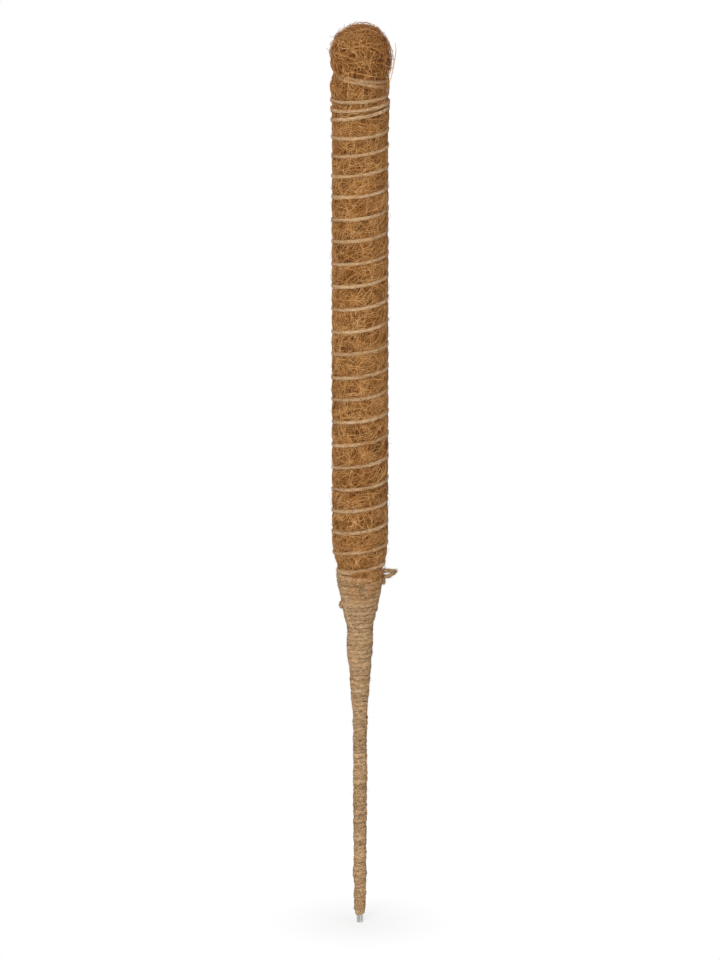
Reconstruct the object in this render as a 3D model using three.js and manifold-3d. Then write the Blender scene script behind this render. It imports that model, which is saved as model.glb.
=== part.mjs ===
// Bendable moss pole: a soft metal rod packed round with coir, capped with a coir dome, bound with jute
// twine in an open spiral and wound close with the same twine down the bare stake.
// Millimetres, +Z up, origin at the tip that goes into the soil.
import * as THREE from "three";
import { mergeVertices } from "three/addons/utils/BufferGeometryUtils.js";
import Module from "manifold-3d";

const wasm = await Module();
wasm.setup();

// Driving dimensions
const POLE_LENGTH = 500;
const ROD_RADIUS = 1.8;
const ROD_TOP = 458;
const TWINE_WIDTH = 1.95;
const TWINE_THICKNESS = 1.6;
const SEAT_GAP = 0.3;

// The surface that the twine lies on, from the tip to the neck, as [height, radius].
// It is the rod up to 104, the drawn-out tail of the filling up to 168 and the fleece above that.
const SEAT_OUTLINE = [
  [0, ROD_RADIUS],
  [104, ROD_RADIUS],
  [120, 2.25],
  [134, 3.1],
  [150, 4.4],
  [160, 5.1],
  [168, 5.2],
  [174, 6.6],
  [190, 9.8],
  [200, 11.4],
  [210, 13.3],
  [218, 13.9],
  [438, 13.9],
  [454, 14.4],
  [461, 14.4],
  [466, 13.9],
  [470, 13.2],
];

// The packed filling under the fleece, as [height, radius]. Its waist takes the fleece's gathered hem.
const FILLING_OUTLINE = [
  [122, 2.36],
  [134, 3.1],
  [150, 4.4],
  [160, 5.1],
  [167, 4.5],
  [190, 6.5],
  [206, 8.5],
  [470, 8.5],
];
const FILLING_BORE = ROD_RADIUS + SEAT_GAP;
const FILLING_BORE_TOP = ROD_TOP + SEAT_GAP;

// The fleece: its hem is gathered into the cone, and between two turns of twine it swells by SWELL.
const FLEECE_HEM = 168;
const FLEECE_TOP = 470;
const SWELL = 1.4;
const SWELL_FROM = 205;
const SWELL_TO = 467.6;
const AROUND = 16;

// Above the last turn the fleece swells more, into a shoulder. It is full on the left, where the lashing is
// highest above that turn, and there is none on the right.
const SHOULDER_SWELL = 3.4;

// The cap: a coir wad whose waist is drawn in by the lashing.
const CAP_WAIST_RADIUS = 13.2;
const CAP_WAIST_TOP = 475;
const CAP_RADIUS = 15.6;
const CAP_EQUATOR = 485.5;
const CAP_ARC_STEPS = 8;

// The spiral binding's height, as [turns, height]: a whole turn is on the right and a half turn on the left.
// It leaves the close winding slowly, climbs evenly and closes up below the neck, where its turns are
// pulled up to the right.
const BINDING_TURNS = 24;
const BINDING_PITCH = 12.36;
const BINDING_HEIGHTS = [
  [0, 197.8],
  [0.5, 199.4],
  [1, 204.2],
  [1.5, 209.7],
  [15.5, 382.4],
  [16.5, 394.4],
  [17.5, 407],
  [18.5, 418.4],
  [19.5, 429.6],
  [20.5, 439.7],
  [21, 443.9],
  [21.5, 448.9],
  [22, 456.2],
  [22.5, 454.8],
  [23, 459],
  [23.5, 460.2],
  [BINDING_TURNS, 463],
];
const BINDING_GAP = 0.4;
const BINDING_SIDES = 5;

// The stake's close winding, from its pulled-tight lower end to the top of the cone.
const WINDING_START = 5.2;
const WINDING_TOP = 197.4;
const WINDING_PITCH = 2.5;
const WINDING_GAP = 0.45;
const WINDING_END_ANGLE = -Math.PI / 3;
const WINDING_SIDES = 4;
const TIGHT_END_TURNS = 4;
const TIGHT_END_SHARE = 0.55;

// Corners in one turn of the close winding, as [largest seat radius, corners]: a fatter cone needs more.
const WINDING_CORNERS = [
  [2.3, 6],
  [5.3, 9],
  [Infinity, 12],
];

// The neck lies in a slanting plane, high on the left and low on the right, and so does its lashing.
// The slant grows from nothing below the neck and is gone again at the cap's shoulder.
const NECK_SLOPE = 0.22;
const NECK_SLANTS_FROM = 460;
const NECK_SLANTED = 468;
const NECK_LEVELS_FROM = 477;
const NECK_LEVEL = 492;
const LASHING_TURNS = 2;
const LASHING_HEIGHT = 471.4;
const LASHING_PITCH = 2.4;
const LASHING_RADIUS = 14.45;

// Knots: where each lies, by its angle from +X, height and distance from the axis, and how flat it is.
const KNOT_STRAND = 0.45;
const KNOT_RADIUS = 1.1;
const KNOT_STEPS = 36;
const KNOT_SIDES = 5;
const KNOTS = [
  { name: "tie_off_knot", angle: -0.12, z: 193.3, radius: 13.2, flatness: 0.7 },
  { name: "splice_knot", angle: Math.PI + 0.15, z: 180.6, radius: 10.9, flatness: 0.6 },
  { name: "neck_knot", angle: 0.6, z: 468.6, radius: 15.85, flatness: 0.7 },
];

// The tied-off ends of both twines, as points [x, y, z] from the pole outwards.
const TAIL_STRAND = 0.75;
const TAIL_SIDES = 8;
const TAIL_STEPS = 8;
const TAIL_LOWER = [
  [13.2, -1.6, 196.6],
  [14.8, -2, 196.4],
  [16.9, -2, 197.5],
  [19.6, -1.8, 199.3],
];
const TAIL_UPPER = [
  [12.9, -2.4, 200],
  [14.8, -2.3, 200.3],
  [16.7, -2.1, 199.6],
  [17.7, -2, 198.1],
];

const LEAST_WINDING_GAP = 0.4;
const TURN = 2 * Math.PI;

// Finishes
const ALUMINIUM = new THREE.MeshStandardMaterial({ color: 0xb8b5ac, roughness: 0.45, metalness: 1 });
const PACKED_COIR = new THREE.MeshStandardMaterial({ color: 0x7d5230, roughness: 0.95, metalness: 0 });
const COIR = new THREE.MeshStandardMaterial({ color: 0x9b6d42, roughness: 0.9, metalness: 0 });
const JUTE = new THREE.MeshStandardMaterial({ color: 0xb08d67, roughness: 0.85, metalness: 0 });

// The value of an outline of [place, value] pairs at a place, straight between its points.
function along(outline, place) {
  const last = outline.length - 1;
  if (place <= outline[0][0]) return outline[0][1];
  for (let i = 0; i < last; i++) {
    const [low, lowValue] = outline[i];
    const [high, highValue] = outline[i + 1];
    if (place <= high) return THREE.MathUtils.mapLinear(place, low, high, lowValue, highValue);
  }
  return outline[last][1];
}

const seatRadius = (z) => along(SEAT_OUTLINE, z);
const seatSlope = (z) => seatRadius(z + 0.5) - seatRadius(z - 0.5);

// How far the neck drops at x, for a point at height z.
function neckDrop(x, z) {
  const rising = THREE.MathUtils.smoothstep(z, NECK_SLANTS_FROM, NECK_SLANTED);
  const falling = THREE.MathUtils.smoothstep(z, NECK_LEVELS_FROM, NECK_LEVEL);
  return NECK_SLOPE * x * (rising - falling);
}

// Slants the neck of a finished body, with the flat faces across it kept flat.
function slantNeck(geometry) {
  const position = geometry.getAttribute("position");
  for (let i = 0; i < position.count; i++) {
    const z = position.getZ(i);
    position.setZ(i, z - neckDrop(position.getX(i), z));
  }
  return geometry;
}

// The height that a point of the neck had before the neck was slanted, settled in a few steps.
function unslanted(z, angle) {
  const steps = 6;
  let level = z;
  for (let step = 0; step < steps; step++) {
    level = z + neckDrop(seatRadius(level) * Math.cos(angle), level);
  }
  return level;
}

// Height of the spiral binding after t turns, on a smooth line. It is at an angle of t turns from +X, so it
// climbs to the right in front.
const bindingLine = new THREE.CubicInterpolant(
  BINDING_HEIGHTS.map(([turns]) => turns),
  BINDING_HEIGHTS.map(([, height]) => height),
  1,
);
const bindingHeight = (t) => bindingLine.evaluate(t)[0];
const bindingLevel = (t) => unslanted(bindingHeight(t), TURN * t);

// A closed BufferGeometry from a list of triangles, each three vectors. Triangles with no area are left out.
function solidFrom(triangles) {
  const kept = triangles.filter(([a, b, c]) => {
    const edges = [a.distanceTo(b), b.distanceTo(c), c.distanceTo(a)];
    return Math.min(...edges) > 1e-6;
  });
  const geometry = new THREE.BufferGeometry().setFromPoints(kept.flat());
  geometry.computeVertexNormals();
  return geometry;
}

// Two triangles over four corners that run anticlockwise seen from outside.
const quad = (a, b, c, d) => [
  [a, b, c],
  [a, c, d],
];

const polar = (radius, angle, z) => new THREE.Vector3(radius * Math.cos(angle), radius * Math.sin(angle), z);

// Triangles between two rings of points, the lower one first, seen from outside.
function band(lower, upper) {
  const count = lower.length;
  return lower.flatMap((point, i) => {
    const next = (i + 1) % count;
    return quad(point, lower[next], upper[next], upper[i]);
  });
}

// A ring of points round the axis.
const ring = (radius, z) => Array.from({ length: AROUND }, (_, i) => polar(radius, (TURN * i) / AROUND, z));

// A body of revolution with the same facets as the fleece, from profile points [radius, height] that
// start and end on the axis and run up the outside.
function turned(profile) {
  const points = profile.map(([radius, z]) => new THREE.Vector2(radius, z));
  const geometry = new THREE.LatheGeometry(points, AROUND);
  return geometry.rotateX(Math.PI / 2);
}

// A tube through stations of a wound twine. Each station has its middle, outward and sideways directions,
// and the width and thickness of the twine there.
function woundTube(stations, sides) {
  const rings = stations.map(({ middle, out, side, width, thickness }) =>
    Array.from({ length: sides }, (_, k) => {
      const angle = (TURN * k) / sides;
      return middle
        .clone()
        .addScaledVector(out, (Math.cos(angle) * thickness) / 2)
        .addScaledVector(side, (Math.sin(angle) * width) / 2);
    }),
  );
  const first = stations[0].middle;
  const last = stations[stations.length - 1].middle;
  const end = rings.length - 1;
  const walls = rings.slice(1).flatMap((next, i) => band(rings[i], next));
  const caps = rings[0].flatMap((_, k) => {
    const after = (k + 1) % sides;
    return [
      [first, rings[0][after], rings[0][k]],
      [last, rings[end][k], rings[end][after]],
    ];
  });
  return { geometry: solidFrom([...walls, ...caps]), rings };
}

// Stations along a route: place(t) gives the middle and the outward direction at t turns. The ends run on
// straight for one twine width.
function stationsAlong(turns, place, size) {
  const step = 1e-3;
  const stations = turns.map((t) => {
    const { middle, out } = place(t);
    const travel = place(t + step).middle.sub(place(t - step).middle).normalize();
    const side = new THREE.Vector3().crossVectors(travel, out).normalize();
    const square = new THREE.Vector3().crossVectors(side, travel).normalize();
    return { middle, out: square, side, travel, ...size(t) };
  });
  const straightOn = (station, way) => ({
    ...station,
    middle: station.middle.clone().addScaledVector(station.travel, way * TWINE_WIDTH),
  });
  return [straightOn(stations[0], -1), ...stations, straightOn(stations[stations.length - 1], 1)];
}

// The least gap between neighbouring turns, measured on points along the tube's edges. Points less than
// half a turn of the tube apart are the same stretch of twine.
function leastGap(rings, stationsPerTurn) {
  const pointsPerStep = 4;
  const samples = [];
  for (let i = 0; i + 1 < rings.length; i++) {
    for (let part = 0; part < pointsPerStep; part++) {
      const share = part / pointsPerStep;
      const points = rings[i].map((p, k) => p.clone().lerp(rings[i + 1][k], share));
      samples.push({ at: i + share, points });
    }
  }
  let least = Infinity;
  samples.forEach((a, i) => {
    const reach = samples.slice(i + 1).filter((b) => {
      const apart = b.at - a.at;
      return apart > stationsPerTurn(a.at) / 2 && apart < stationsPerTurn(a.at) * 1.5;
    });
    for (const b of reach) {
      for (const p of a.points) for (const q of b.points) least = Math.min(least, p.distanceTo(q));
    }
  });
  return least;
}

function reportGap(name, gap) {
  console.log(`${name}: least gap between turns ${gap.toFixed(2)} mm, at least ${LEAST_WINDING_GAP} wanted`);
}

const fullTwine = () => ({ width: TWINE_WIDTH, thickness: TWINE_THICKNESS });

// The rod: soft aluminium, bare at the tip, its lower end slightly chamfered by the cutter.
function coreRod() {
  const chamfer = 0.3;
  return turned([
    [0, 0],
    [ROD_RADIUS - chamfer, 0],
    [ROD_RADIUS, chamfer],
    [ROD_RADIUS, ROD_TOP],
    [0, ROD_TOP],
  ]);
}

// The filling: coir packed round the rod, with a blind bore and a tail drawn out down the stake.
function coirFilling() {
  const outside = FILLING_OUTLINE.map(([z, radius]) => [radius, z]);
  const [tipZ] = FILLING_OUTLINE[0];
  return turned([
    [0, FILLING_BORE_TOP],
    [FILLING_BORE, FILLING_BORE_TOP],
    [FILLING_BORE, tipZ],
    ...outside,
    [0, FLEECE_TOP],
  ]);
}

// The fleece: a mat rolled round the filling. Rows of its outside follow the twine, a quarter of a turn
// apart, so that it is drawn in under each turn and swells between two turns.
function coirFleece() {
  const rowsPerTurn = 4;
  const swellOfRow = [0, 0.75, 1, 0.75];
  const shoulderOfRow = [0, 0.45, 1, 0.9];
  const leastStep = 0.6;
  const held = (z) => {
    if (z < SWELL_FROM + leastStep) return SWELL_FROM;
    return z > SWELL_TO - leastStep ? SWELL_TO : z;
  };
  const turnLevel = (t) => (t > BINDING_TURNS ? SWELL_TO : bindingLevel(t));
  const skinPoint = (row, column) => {
    const turn = Math.floor(row / rowsPerTurn);
    const part = row - turn * rowsPerTurn;
    const t = turn + column / AROUND;
    const angle = (TURN * (column % AROUND)) / AROUND;
    const turnBelow = turnLevel(t);
    const turnAbove = turnLevel(t + 1);
    const z = held(THREE.MathUtils.lerp(turnBelow, turnAbove, part / rowsPerTurn));
    const open = (turnAbove - turnBelow) / BINDING_PITCH;
    const ends = z > SWELL_FROM && z < SWELL_TO ? 1 : 0;
    const shoulder = (SHOULDER_SWELL * shoulderOfRow[part] * (1 - Math.cos(angle))) / 2;
    const swell = t < BINDING_TURNS - 1 ? SWELL * swellOfRow[part] : shoulder;
    return polar(seatRadius(z) + swell * open * ends, angle, z);
  };
  const skin = [];
  for (let row = -rowsPerTurn; row < (BINDING_TURNS + 1) * rowsPerTurn; row++) {
    for (let column = 0; column < AROUND; column++) {
      const low = [skinPoint(row, column), skinPoint(row, column + 1)];
      const high = [skinPoint(row + 1, column), skinPoint(row + 1, column + 1)];
      skin.push(...quad(low[0], low[1], high[1], high[0]));
    }
  }
  const heights = (outline, from, to) => {
    const between = outline.map(([z]) => z).filter((z) => z > from && z < to);
    return [from, ...between, to];
  };
  const stacked = (rings) => rings.slice(1).flatMap((upper, i) => band(rings[i], upper));
  const below = heights(SEAT_OUTLINE, FLEECE_HEM, SWELL_FROM).map((z) => ring(seatRadius(z), z));
  const above = heights(SEAT_OUTLINE, SWELL_TO, FLEECE_TOP).map((z) => ring(seatRadius(z), z));
  const bore = heights(FILLING_OUTLINE, FLEECE_HEM, FLEECE_TOP).map((z) =>
    ring(along(FILLING_OUTLINE, z) + SEAT_GAP, z),
  );
  const boreTop = bore[bore.length - 1];
  return solidFrom([
    ...stacked(below),
    ...skin,
    ...stacked(above),
    ...band(above[above.length - 1], boreTop),
    ...stacked([...bore].reverse()),
    ...band(bore[0], below[0]),
  ]);
}

// The cap: a flat seat on the fleece, a drawn-in waist, a swelling shoulder and a dome.
function coirCap() {
  const seatZ = FLEECE_TOP + SEAT_GAP;
  const arc = (steps, from, to, point) =>
    Array.from({ length: steps }, (_, i) => point(THREE.MathUtils.lerp(from, to, i / steps)));
  const shoulder = arc(CAP_ARC_STEPS / 2, -Math.PI / 2, 0, (angle) => [
    CAP_WAIST_RADIUS + (CAP_RADIUS - CAP_WAIST_RADIUS) * Math.cos(angle),
    CAP_EQUATOR + (CAP_EQUATOR - CAP_WAIST_TOP) * Math.sin(angle),
  ]);
  const dome = arc(CAP_ARC_STEPS, 0, Math.PI / 2, (angle) => [
    CAP_RADIUS * Math.cos(angle),
    CAP_EQUATOR + (POLE_LENGTH - CAP_EQUATOR) * Math.sin(angle),
  ]);
  return turned([[0, seatZ], [CAP_WAIST_RADIUS, seatZ], ...shoulder, ...dome, [0, POLE_LENGTH]]);
}

// The spiral binding, one unbroken twine of BINDING_TURNS turns.
function spiralBinding() {
  const reach = BINDING_GAP + TWINE_THICKNESS / 2;
  const turns = Array.from({ length: BINDING_TURNS * AROUND + 1 }, (_, i) => i / AROUND);
  const place = (t) => {
    const z = bindingHeight(t);
    const seatAt = (height) => seatRadius(unslanted(height, TURN * t));
    const out = polar(1, TURN * t, seatAt(z - 0.5) - seatAt(z + 0.5)).normalize();
    return { middle: polar(seatAt(z) + reach, TURN * t, z), out };
  };
  const { geometry, rings } = woundTube(stationsAlong(turns, place, fullTwine), BINDING_SIDES);
  reportGap("spiral_binding", leastGap(rings, () => AROUND));
  return geometry;
}

// Corners in the turn of the close winding at a height.
function windingCorners(z) {
  const [, corners] = WINDING_CORNERS.find(([largest]) => seatRadius(z) < largest);
  return corners;
}

// The close winding of the stake, one unbroken twine, thinner at its pulled-tight lower end.
function stakeWinding() {
  const total = (WINDING_TOP - WINDING_START) / WINDING_PITCH;
  const heightAt = (t) => WINDING_START + WINDING_PITCH * t;
  const angleAt = (t) => WINDING_END_ANGLE + TURN * (t - total);
  const size = (t) => {
    const share = THREE.MathUtils.lerp(TIGHT_END_SHARE, 1, Math.min(1, t / TIGHT_END_TURNS));
    return { width: TWINE_WIDTH, thickness: TWINE_THICKNESS * share };
  };
  const turns = [];
  for (let t = 0; t < total; t += 1 / windingCorners(heightAt(t))) turns.push(t);
  turns.push(total);
  const place = (t) => {
    const z = heightAt(t);
    const radius = seatRadius(z) + WINDING_GAP + size(t).thickness / 2;
    return { middle: polar(radius, angleAt(t), z), out: polar(1, angleAt(t), -seatSlope(z)).normalize() };
  };
  const { geometry, rings } = woundTube(stationsAlong(turns, place, size), WINDING_SIDES);
  const cornersAt = (i) => windingCorners(heightAt(turns[Math.min(Math.floor(i), turns.length - 1)]));
  reportGap("stake_winding", leastGap(rings, cornersAt));
  return geometry;
}

// The lashing that draws in the neck: two slanting turns, one unbroken twine.
function neckLashing() {
  const turns = Array.from({ length: LASHING_TURNS * AROUND + 1 }, (_, i) => i / AROUND);
  const place = (t) => {
    const climb = LASHING_PITCH * (t - LASHING_TURNS / 2);
    const middle = polar(LASHING_RADIUS, TURN * t, LASHING_HEIGHT + climb);
    middle.z -= neckDrop(middle.x, LASHING_HEIGHT);
    return { middle, out: polar(1, TURN * t, 0) };
  };
  const { geometry, rings } = woundTube(stationsAlong(turns, place, fullTwine), BINDING_SIDES);
  reportGap("neck_lashing", leastGap(rings, () => AROUND));
  return geometry;
}

// An overhand knot, which is a trefoil, flattened against the surface that it lies on.
function overhandKnot(flatness) {
  const knot = new THREE.TorusKnotGeometry(KNOT_RADIUS, KNOT_STRAND, KNOT_STEPS, KNOT_SIDES, 2, 3);
  return knot.scale(1, 1, flatness);
}

// A closed mesh as a manifold solid.
function manifoldOf(geometry) {
  const bare = new THREE.BufferGeometry();
  bare.setAttribute("position", geometry.getAttribute("position").clone());
  if (geometry.index) bare.setIndex(geometry.index.clone());
  const merged = mergeVertices(bare, 1e-4);
  const mesh = new wasm.Mesh({
    numProp: 3,
    vertProperties: merged.attributes.position.array,
    triVerts: new Uint32Array(merged.index.array),
  });
  return new wasm.Manifold(mesh);
}

// A manifold solid as a BufferGeometry.
function geometryOf(solid) {
  const { vertProperties, triVerts } = solid.getMesh();
  const geometry = new THREE.BufferGeometry();
  geometry.setAttribute("position", new THREE.BufferAttribute(vertProperties, 3));
  geometry.setIndex(new THREE.BufferAttribute(triVerts, 1));
  return geometry.toNonIndexed();
}

// A round strand along a smooth curve through points [x, y, z].
function strand(points) {
  const path = new THREE.CatmullRomCurve3(points.map((p) => new THREE.Vector3(...p)));
  const section = new THREE.Shape().absarc(0, 0, TAIL_STRAND, 0, TURN);
  const options = { steps: TAIL_STEPS, curveSegments: TAIL_SIDES, extrudePath: path, bevelEnabled: false };
  return new THREE.ExtrudeGeometry(section, options);
}

// The tied-off tail: the ends of both twines stand out from the cone, are twisted together and cut.
function tieOffTail() {
  return geometryOf(manifoldOf(strand(TAIL_LOWER)).add(manifoldOf(strand(TAIL_UPPER))));
}

const pole = new THREE.Group();

function addPiece(name, geometry, material) {
  const mesh = new THREE.Mesh(geometry, material);
  mesh.name = name;
  pole.add(mesh);
  return mesh;
}

// Lays a knot flat against the round surface that it is tied on.
function addKnot({ name, angle, z, radius, flatness }) {
  const knot = addPiece(name, overhandKnot(flatness), JUTE);
  knot.position.copy(polar(radius, angle, z));
  knot.lookAt(polar(2 * radius, angle, z));
}

addPiece("core_rod", coreRod(), ALUMINIUM);
addPiece("coir_filling", slantNeck(coirFilling()), PACKED_COIR);
addPiece("coir_fleece", slantNeck(coirFleece()), COIR);
addPiece("coir_cap", slantNeck(coirCap()), COIR);
addPiece("spiral_binding", spiralBinding(), JUTE);
addPiece("stake_winding", stakeWinding(), JUTE);
addPiece("neck_lashing", neckLashing(), JUTE);
KNOTS.forEach(addKnot);
addPiece("tie_off_tail", tieOffTail(), JUTE);

export default pole;
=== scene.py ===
"""Dresses a coir moss pole: drawn rod, packed coir, felted fleece and dome, and hand-wound jute twine.

Shapes are worked out in millimetres as whole numpy arrays and turned into metres when a mesh is made.
The pole stands on its tip with +Z up, and its front faces -Y.
"""

import logging
import math
from abc import ABC, abstractmethod
from collections.abc import Mapping, Sequence
from dataclasses import dataclass, replace
from enum import Enum
from functools import cached_property
from typing import Any, Optional, Union

import bpy
import numpy as np
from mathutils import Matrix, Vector


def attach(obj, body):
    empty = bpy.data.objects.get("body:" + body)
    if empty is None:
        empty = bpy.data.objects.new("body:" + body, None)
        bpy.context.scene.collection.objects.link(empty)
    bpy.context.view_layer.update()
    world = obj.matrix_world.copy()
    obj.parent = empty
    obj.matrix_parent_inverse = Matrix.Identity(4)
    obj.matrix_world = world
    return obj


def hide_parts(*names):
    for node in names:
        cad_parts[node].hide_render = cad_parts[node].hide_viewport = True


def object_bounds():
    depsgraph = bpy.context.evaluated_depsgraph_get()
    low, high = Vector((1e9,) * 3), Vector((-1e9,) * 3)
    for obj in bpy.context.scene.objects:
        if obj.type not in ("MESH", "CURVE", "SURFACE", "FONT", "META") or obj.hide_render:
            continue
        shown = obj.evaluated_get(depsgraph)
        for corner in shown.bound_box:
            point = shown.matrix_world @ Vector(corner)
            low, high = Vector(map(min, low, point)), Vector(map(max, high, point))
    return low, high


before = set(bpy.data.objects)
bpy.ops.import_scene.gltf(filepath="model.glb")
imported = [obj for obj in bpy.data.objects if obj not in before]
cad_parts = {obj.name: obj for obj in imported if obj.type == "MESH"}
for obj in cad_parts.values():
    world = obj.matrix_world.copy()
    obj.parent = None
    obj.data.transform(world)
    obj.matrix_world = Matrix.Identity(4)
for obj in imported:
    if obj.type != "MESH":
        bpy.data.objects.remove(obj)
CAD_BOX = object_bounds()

log = logging.getLogger("moss_pole")

MM = 0.001
TURN = 2.0 * math.pi
ROOT = "root"

Array = np.ndarray
Mesh = bpy.types.Mesh
Material = bpy.types.Material
Colour = tuple[float, float, float]
Range = tuple[float, float]
Point = tuple[float, float, float]
Outline = tuple[Range, ...]
Route = tuple[Point, ...]
Stops = tuple[tuple[float, Colour], ...]
WHITE = (1.0, 1.0, 1.0, 1.0)


class Slot(Enum):
    """The record's material slots."""

    ROD = "aluminium_rod"
    PACKED = "packed_coir"
    COIR = "coir"
    TWINE = "jute_twine"


class Hold(Enum):
    """How a coir strand is held on the fleece."""

    FELTED = "lies in the fleece and dips under the twine"
    BRIDGING = "crosses over the twine and goes back in at both ends"
    LOOSE = "is held at one end and stands away from the fleece"


def unit(vectors: Array) -> Array:
    """Divides each vector, with x, y and z on the last axis, by its own length."""
    return vectors / np.maximum(np.linalg.norm(vectors, axis=-1, keepdims=True), 1e-9)


def smoothstep(value: Array, low: float, high: float) -> Array:
    """Rises from 0 at low to 1 at high along 3s^2 - 2s^3."""
    share = np.clip((value - low) / (high - low), 0.0, 1.0)
    return share * share * (3.0 - 2.0 * share)


def polar(angle: Array, radius: Array, level: Array) -> Array:
    """Turns angle, radius and height into x = r cos a, y = r sin a and z on a new last axis."""
    angle, radius, level = np.broadcast_arrays(angle, radius, level)
    return np.stack((radius * np.cos(angle), radius * np.sin(angle), level), axis=-1)


def outward_at(angle: Array) -> Array:
    """Gives the level direction away from the axis, (cos a, sin a, 0)."""
    return polar(angle, np.ones_like(angle), np.zeros_like(angle))


def length_along(path: Array) -> Array:
    """Measures how far each point lies along a path; points and axes are its last two axes."""
    steps = np.linalg.norm(np.diff(path, axis=-2), axis=-1)
    return np.concatenate((np.zeros_like(steps[..., :1]), np.cumsum(steps, axis=-1)), axis=-1)


def on_left(angle: Array) -> Array:
    """Gives a share that is full on the left and nothing on the right, (1 - cos a) / 2."""
    return (1.0 - np.cos(angle)) / 2.0


def smooth_route(points: Sequence[Point], rings: int) -> Array:
    """Carries a spline through points: on each span, Hermite blends of its ends and their slopes.

    Args:
        points: The points that the route passes through.
        rings: How many points to return, evenly spread over the spans.

    Returns:
        The route, one row for each ring.
    """
    knots = np.asarray(points, float)
    slopes = np.gradient(knots, axis=0)
    reach = np.linspace(0.0, len(knots) - 1.0, rings)
    first = np.minimum(reach.astype(int), len(knots) - 2)
    s = (reach - first)[:, None]
    rise = s * s * (3.0 - 2.0 * s)
    leaving = s * (1.0 - s) ** 2 * slopes[first]
    arriving = s * s * (s - 1.0) * slopes[first + 1]
    return knots[first] * (1.0 - rise) + knots[first + 1] * rise + leaving + arriving


@dataclass(frozen=True)
class Unevenness:
    """Smooth seeded waviness over a sheet that repeats: lattice values blended with smooth weights.

    Attributes:
        seed: Seed of the lattice.
        cells: How many waves fit across and along the sheet.
    """

    seed: int
    cells: tuple[int, int]

    def __call__(self, across: Array, along: Array) -> Array:
        """Reads the waviness at shares of the sheet, from -1 to 1.

        Args:
            across: Share of the way across, where whole numbers repeat.
            along: Share of the way along, where whole numbers repeat.

        Returns:
            The waviness at each place.
        """
        lattice = np.random.default_rng(self.seed).uniform(-1.0, 1.0, self.cells)
        u = np.asarray(across) * self.cells[0]
        v = np.asarray(along) * self.cells[1]
        u, v = np.broadcast_arrays(u, v)
        i, j = np.floor(u).astype(int), np.floor(v).astype(int)
        p, q = smoothstep(u - i, 0.0, 1.0), smoothstep(v - j, 0.0, 1.0)
        i0, i1 = i % self.cells[0], (i + 1) % self.cells[0]
        j0, j1 = j % self.cells[1], (j + 1) % self.cells[1]
        near = lattice[i0, j0] * (1.0 - p) + lattice[i1, j0] * p
        far = lattice[i0, j1] * (1.0 - p) + lattice[i1, j1] * p
        return near * (1.0 - q) + far * q


def smooth_line(points: Outline, at: Array) -> Array:
    """Carries a cubic line through points: Hermite blends, each slope the mean of the chords beside it.

    Args:
        points: Places and values that the line passes through.
        at: Places at which to read it; beyond its ends it stays level.

    Returns:
        The line's value at each place.
    """
    place, value = np.transpose(points)
    chord = np.diff(value) / np.diff(place)
    slope = np.concatenate((chord[:1], (chord[:-1] + chord[1:]) / 2.0, chord[-1:]))
    i = np.clip(np.searchsorted(place, at, side="right") - 1, 0, len(place) - 2)
    width = place[i + 1] - place[i]
    s = np.clip((at - place[i]) / width, 0.0, 1.0)
    rise = s * s * (3.0 - 2.0 * s)
    bend = s * (1.0 - s) ** 2 * slope[i] + s * s * (s - 1.0) * slope[i + 1]
    return value[i] * (1.0 - rise) + value[i + 1] * rise + width * bend


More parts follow.
